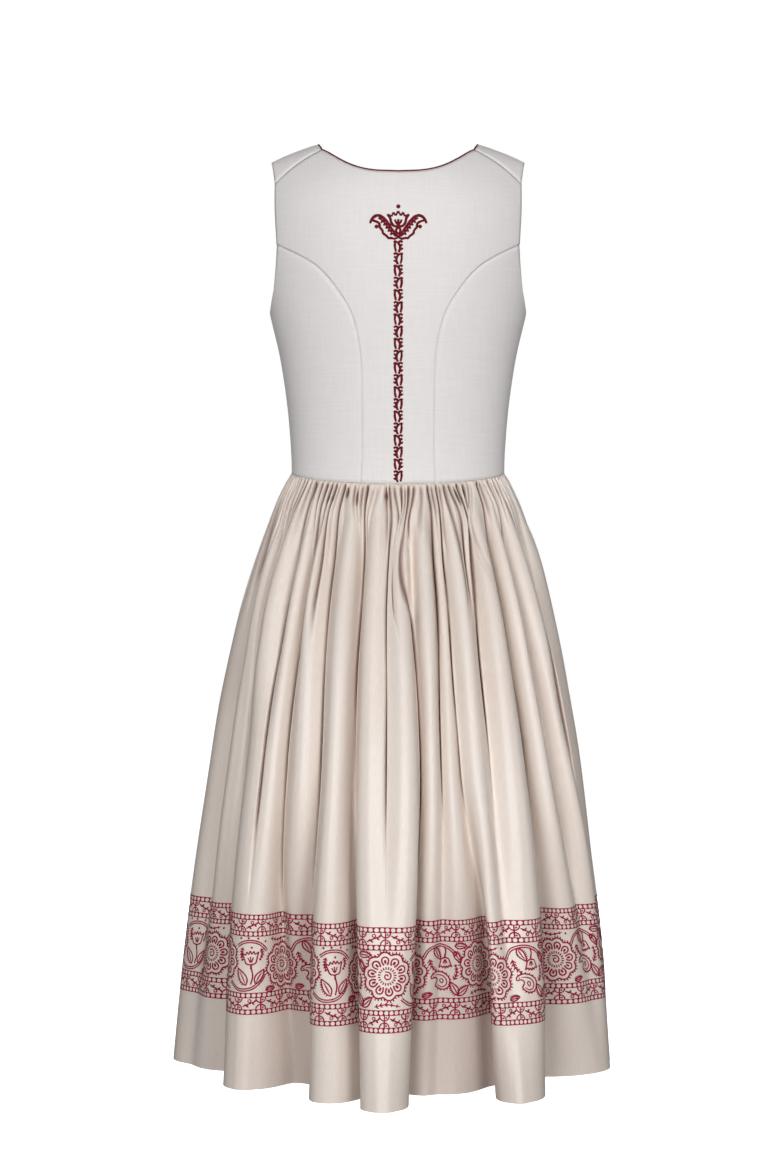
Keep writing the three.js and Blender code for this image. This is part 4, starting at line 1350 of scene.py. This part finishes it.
def sprig(needle, place, side):
    """A plain stem beside a hooked one with two barbs."""
    draw = pen(needle, place, flip=side, bold=SPRIG_BOLD)
    draw([(-5.2, 0.2), (-3.8, -1.6), (-4.0, -6), (-2.6, -12.0)], 2.4, 0.2)
    draw([(5.2, -1.2), (2.6, 0.2), (0.2, -1.8), (1.9, -5), (2.1, -8.4), (0.4, -12.8)], 2.7, 0.2)
    draw([(-4.8, 0.2), (-1.6, -0.9), (0.4, -2.2)], 2.2)
    draw([(1.8, -5), (5.2, -4.0)], 2.6, 0.3)
    draw([(1.4, -10.2), (5.6, -8.0)], 2.4, 0.3)


def build_embroidery():
    """The crest between the shoulder blades, the band of sprigs below it and the light beads."""
    needle = Needle(back_surface, 0.15, 0.45, 3)
    crest(needle, (0.0, CREST_FOOT))
    pitch = (SPRIGS_TOP - SPRIGS_FOOT) / SPRIGS
    for index in range(SPRIGS):
        sprig(needle, (0.0, SPRIGS_TOP - pitch * index), 1 if index % 2 else -1)
    embroidery = needle.finish("back_embroidery", THREAD_RED, "bodice_linen")
    beads = Needle(back_surface, 0.3, 0.4, 4)
    for side in (1, -1):
        for x, y in ((6.4, 5.2), (9.4, 9.0), (12.2, 12.8), (15.0, 16.6), (18.6, 20.2)):
            beads.dot((side * x, CREST_FOOT + y), 0.8, 6)
    light = beads.finish("back_embroidery_beads", THREAD_PINK, "bodice_linen")
    return [embroidery, light]


# ---- piping --------------------------------------------------------------------------------
def build_piping():
    """Dark red piping: a thin cord along the neck edge, open at the centre front."""
    half = EDGES["front_neck"] + EDGES["back_neck"][1:]
    loop = half + mirrored(half)[-2::-1]
    radius, sides = 1.0, 8
    points = [body_point(*place) for place in loop]
    bm = bmesh.new()
    bmesh.ops.create_cone(bm, cap_ends=True, segments=sides, radius1=0.5, radius2=0.5, depth=1)
    length = len(points) - 1
    walls = [edge for edge in bm.edges if abs(edge.verts[0].co.z - edge.verts[1].co.z) > 0.5]
    bmesh.ops.subdivide_edges(bm, edges=walls, cuts=length - 1, use_grid_fill=False)
    for vertex in bm.verts:
        i = round((vertex.co.z + 0.5) * length)
        angle = math.atan2(vertex.co.y, vertex.co.x)
        before, after = points[max(0, i - 1)], points[min(length, i + 1)]
        along = (after - before).normalized()
        normal = body_normal(*loop[i])
        outward = along.cross(normal).normalized()
        centre = points[i] - normal * (LINEN_WALL / 2) + outward * (radius + 0.1)
        corner = centre + outward * radius * math.cos(angle) + normal * radius * math.sin(angle)
        vertex.co = corner * MM
    bmesh.ops.recalc_face_normals(bm, faces=bm.faces)
    piece = finish_mesh("neck_piping_cord", bm, THREAD_RED)
    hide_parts("neck_piping")


# ---- studio, in metres ---------------------------------------------------------------------
FLOOR_HEIGHT, FLOOR_REACH = -1.40, 9.0
WORLD_LIGHT = 0.13


def build_floor():
    bm = bmesh.new()
    bmesh.ops.create_grid(bm, x_segments=1, y_segments=1, size=FLOOR_REACH)
    mesh = bpy.data.meshes.new("studio_floor")
    bmesh.ops.translate(bm, verts=bm.verts, vec=(0, 0, FLOOR_HEIGHT))
    bm.to_mesh(mesh)
    bm.free()
    floor = bpy.data.objects.new("studio_floor", mesh)
    bpy.context.scene.collection.objects.link(floor)
    paper = new_material("pale studio paper", {
        "Base Color": srgb("#FAFAFA"), "Roughness": 0.9,
        "Emission Color": srgb("#FFFFFF"), "Emission Strength": 0.95})[0]
    mesh.materials.append(paper)
    floor.visible_diffuse = False
    floor.visible_glossy = False


def light_world():
    """Plain white where the camera looks past the dress, and a dim even light on the cloth."""
    world = bpy.data.worlds.new("white studio")
    world.use_nodes = True
    tree = world.node_tree
    seen = tree.nodes["Background"]
    seen.inputs["Color"].default_value = srgb("#FFFFFF")
    seen.inputs["Strength"].default_value = 1.0
    light = add(tree, "ShaderNodeBackground", {"Color": srgb("#FFFDFB"), "Strength": WORLD_LIGHT})
    ray = add(tree, "ShaderNodeLightPath").outputs["Is Camera Ray"]
    both = add(tree, "ShaderNodeMixShader", {0: ray, 1: light.outputs[0], 2: seen.outputs[0]})
    tree.links.new(both.outputs[0], tree.nodes["World Output"].inputs["Surface"])
    bpy.context.scene.world = world


def build_lamps():
    """Two tall softboxes beside the camera, and others to the sides, above and at the front."""
    lights = table("place aim width height power", [
        ((0.7, 3.2, -0.45), (0, 0, -0.85), 0.8, 2.8, 49),
        ((-1.05, 3.1, -0.55), (0, 0, -0.9), 0.8, 2.8, 43),
        ((2.7, 1.0, -0.3), (0, 0, -0.6), 0.6, 2.6, 7),
        ((-2.7, 1.0, -0.4), (0, 0, -0.65), 0.6, 2.6, 6),
        ((0, 1.6, 2.4), (0, 0, -0.5), 1.6, 1.6, 17),
        ((0, -3.1, -0.3), (0, 0, -0.6), 1.0, 2.6, 72),
    ])
    for index, row in enumerate(lights):
        lamp = bpy.data.lights.new(f"softbox_{index}", "AREA")
        lamp.shape = "RECTANGLE"
        lamp.size, lamp.size_y = row["width"], row["height"]
        lamp.energy = row["power"]
        holder = bpy.data.objects.new(f"softbox_{index}", lamp)
        holder.location = row["place"]
        aim = Vector(row["aim"]) - Vector(row["place"])
        holder.rotation_euler = aim.to_track_quat("-Z", "Y").to_euler()
        bpy.context.scene.collection.objects.link(holder)


CAMERA_PLACE = (0.0084, 3.1, -0.422)
CAMERA_DIP = 2.0
CAMERA_LENS, CAMERA_SENSOR = 79.1, 36


def build_camera():
    lens = bpy.data.cameras.new("camera")
    lens.sensor_fit = "VERTICAL"
    lens.sensor_height = CAMERA_SENSOR
    lens.lens = CAMERA_LENS
    lens.clip_end = 40
    camera = bpy.data.objects.new("camera", lens)
    camera.location = CAMERA_PLACE
    camera.rotation_euler = (math.radians(90 - CAMERA_DIP), 0, math.radians(180))
    bpy.context.scene.collection.objects.link(camera)
    bpy.context.scene.camera = camera
    bpy.context.scene.view_settings.view_transform = "Standard"


build_camera()
build_floor()
light_world()
build_lamps()
build_bodice()
build_piping()
build_skirt()
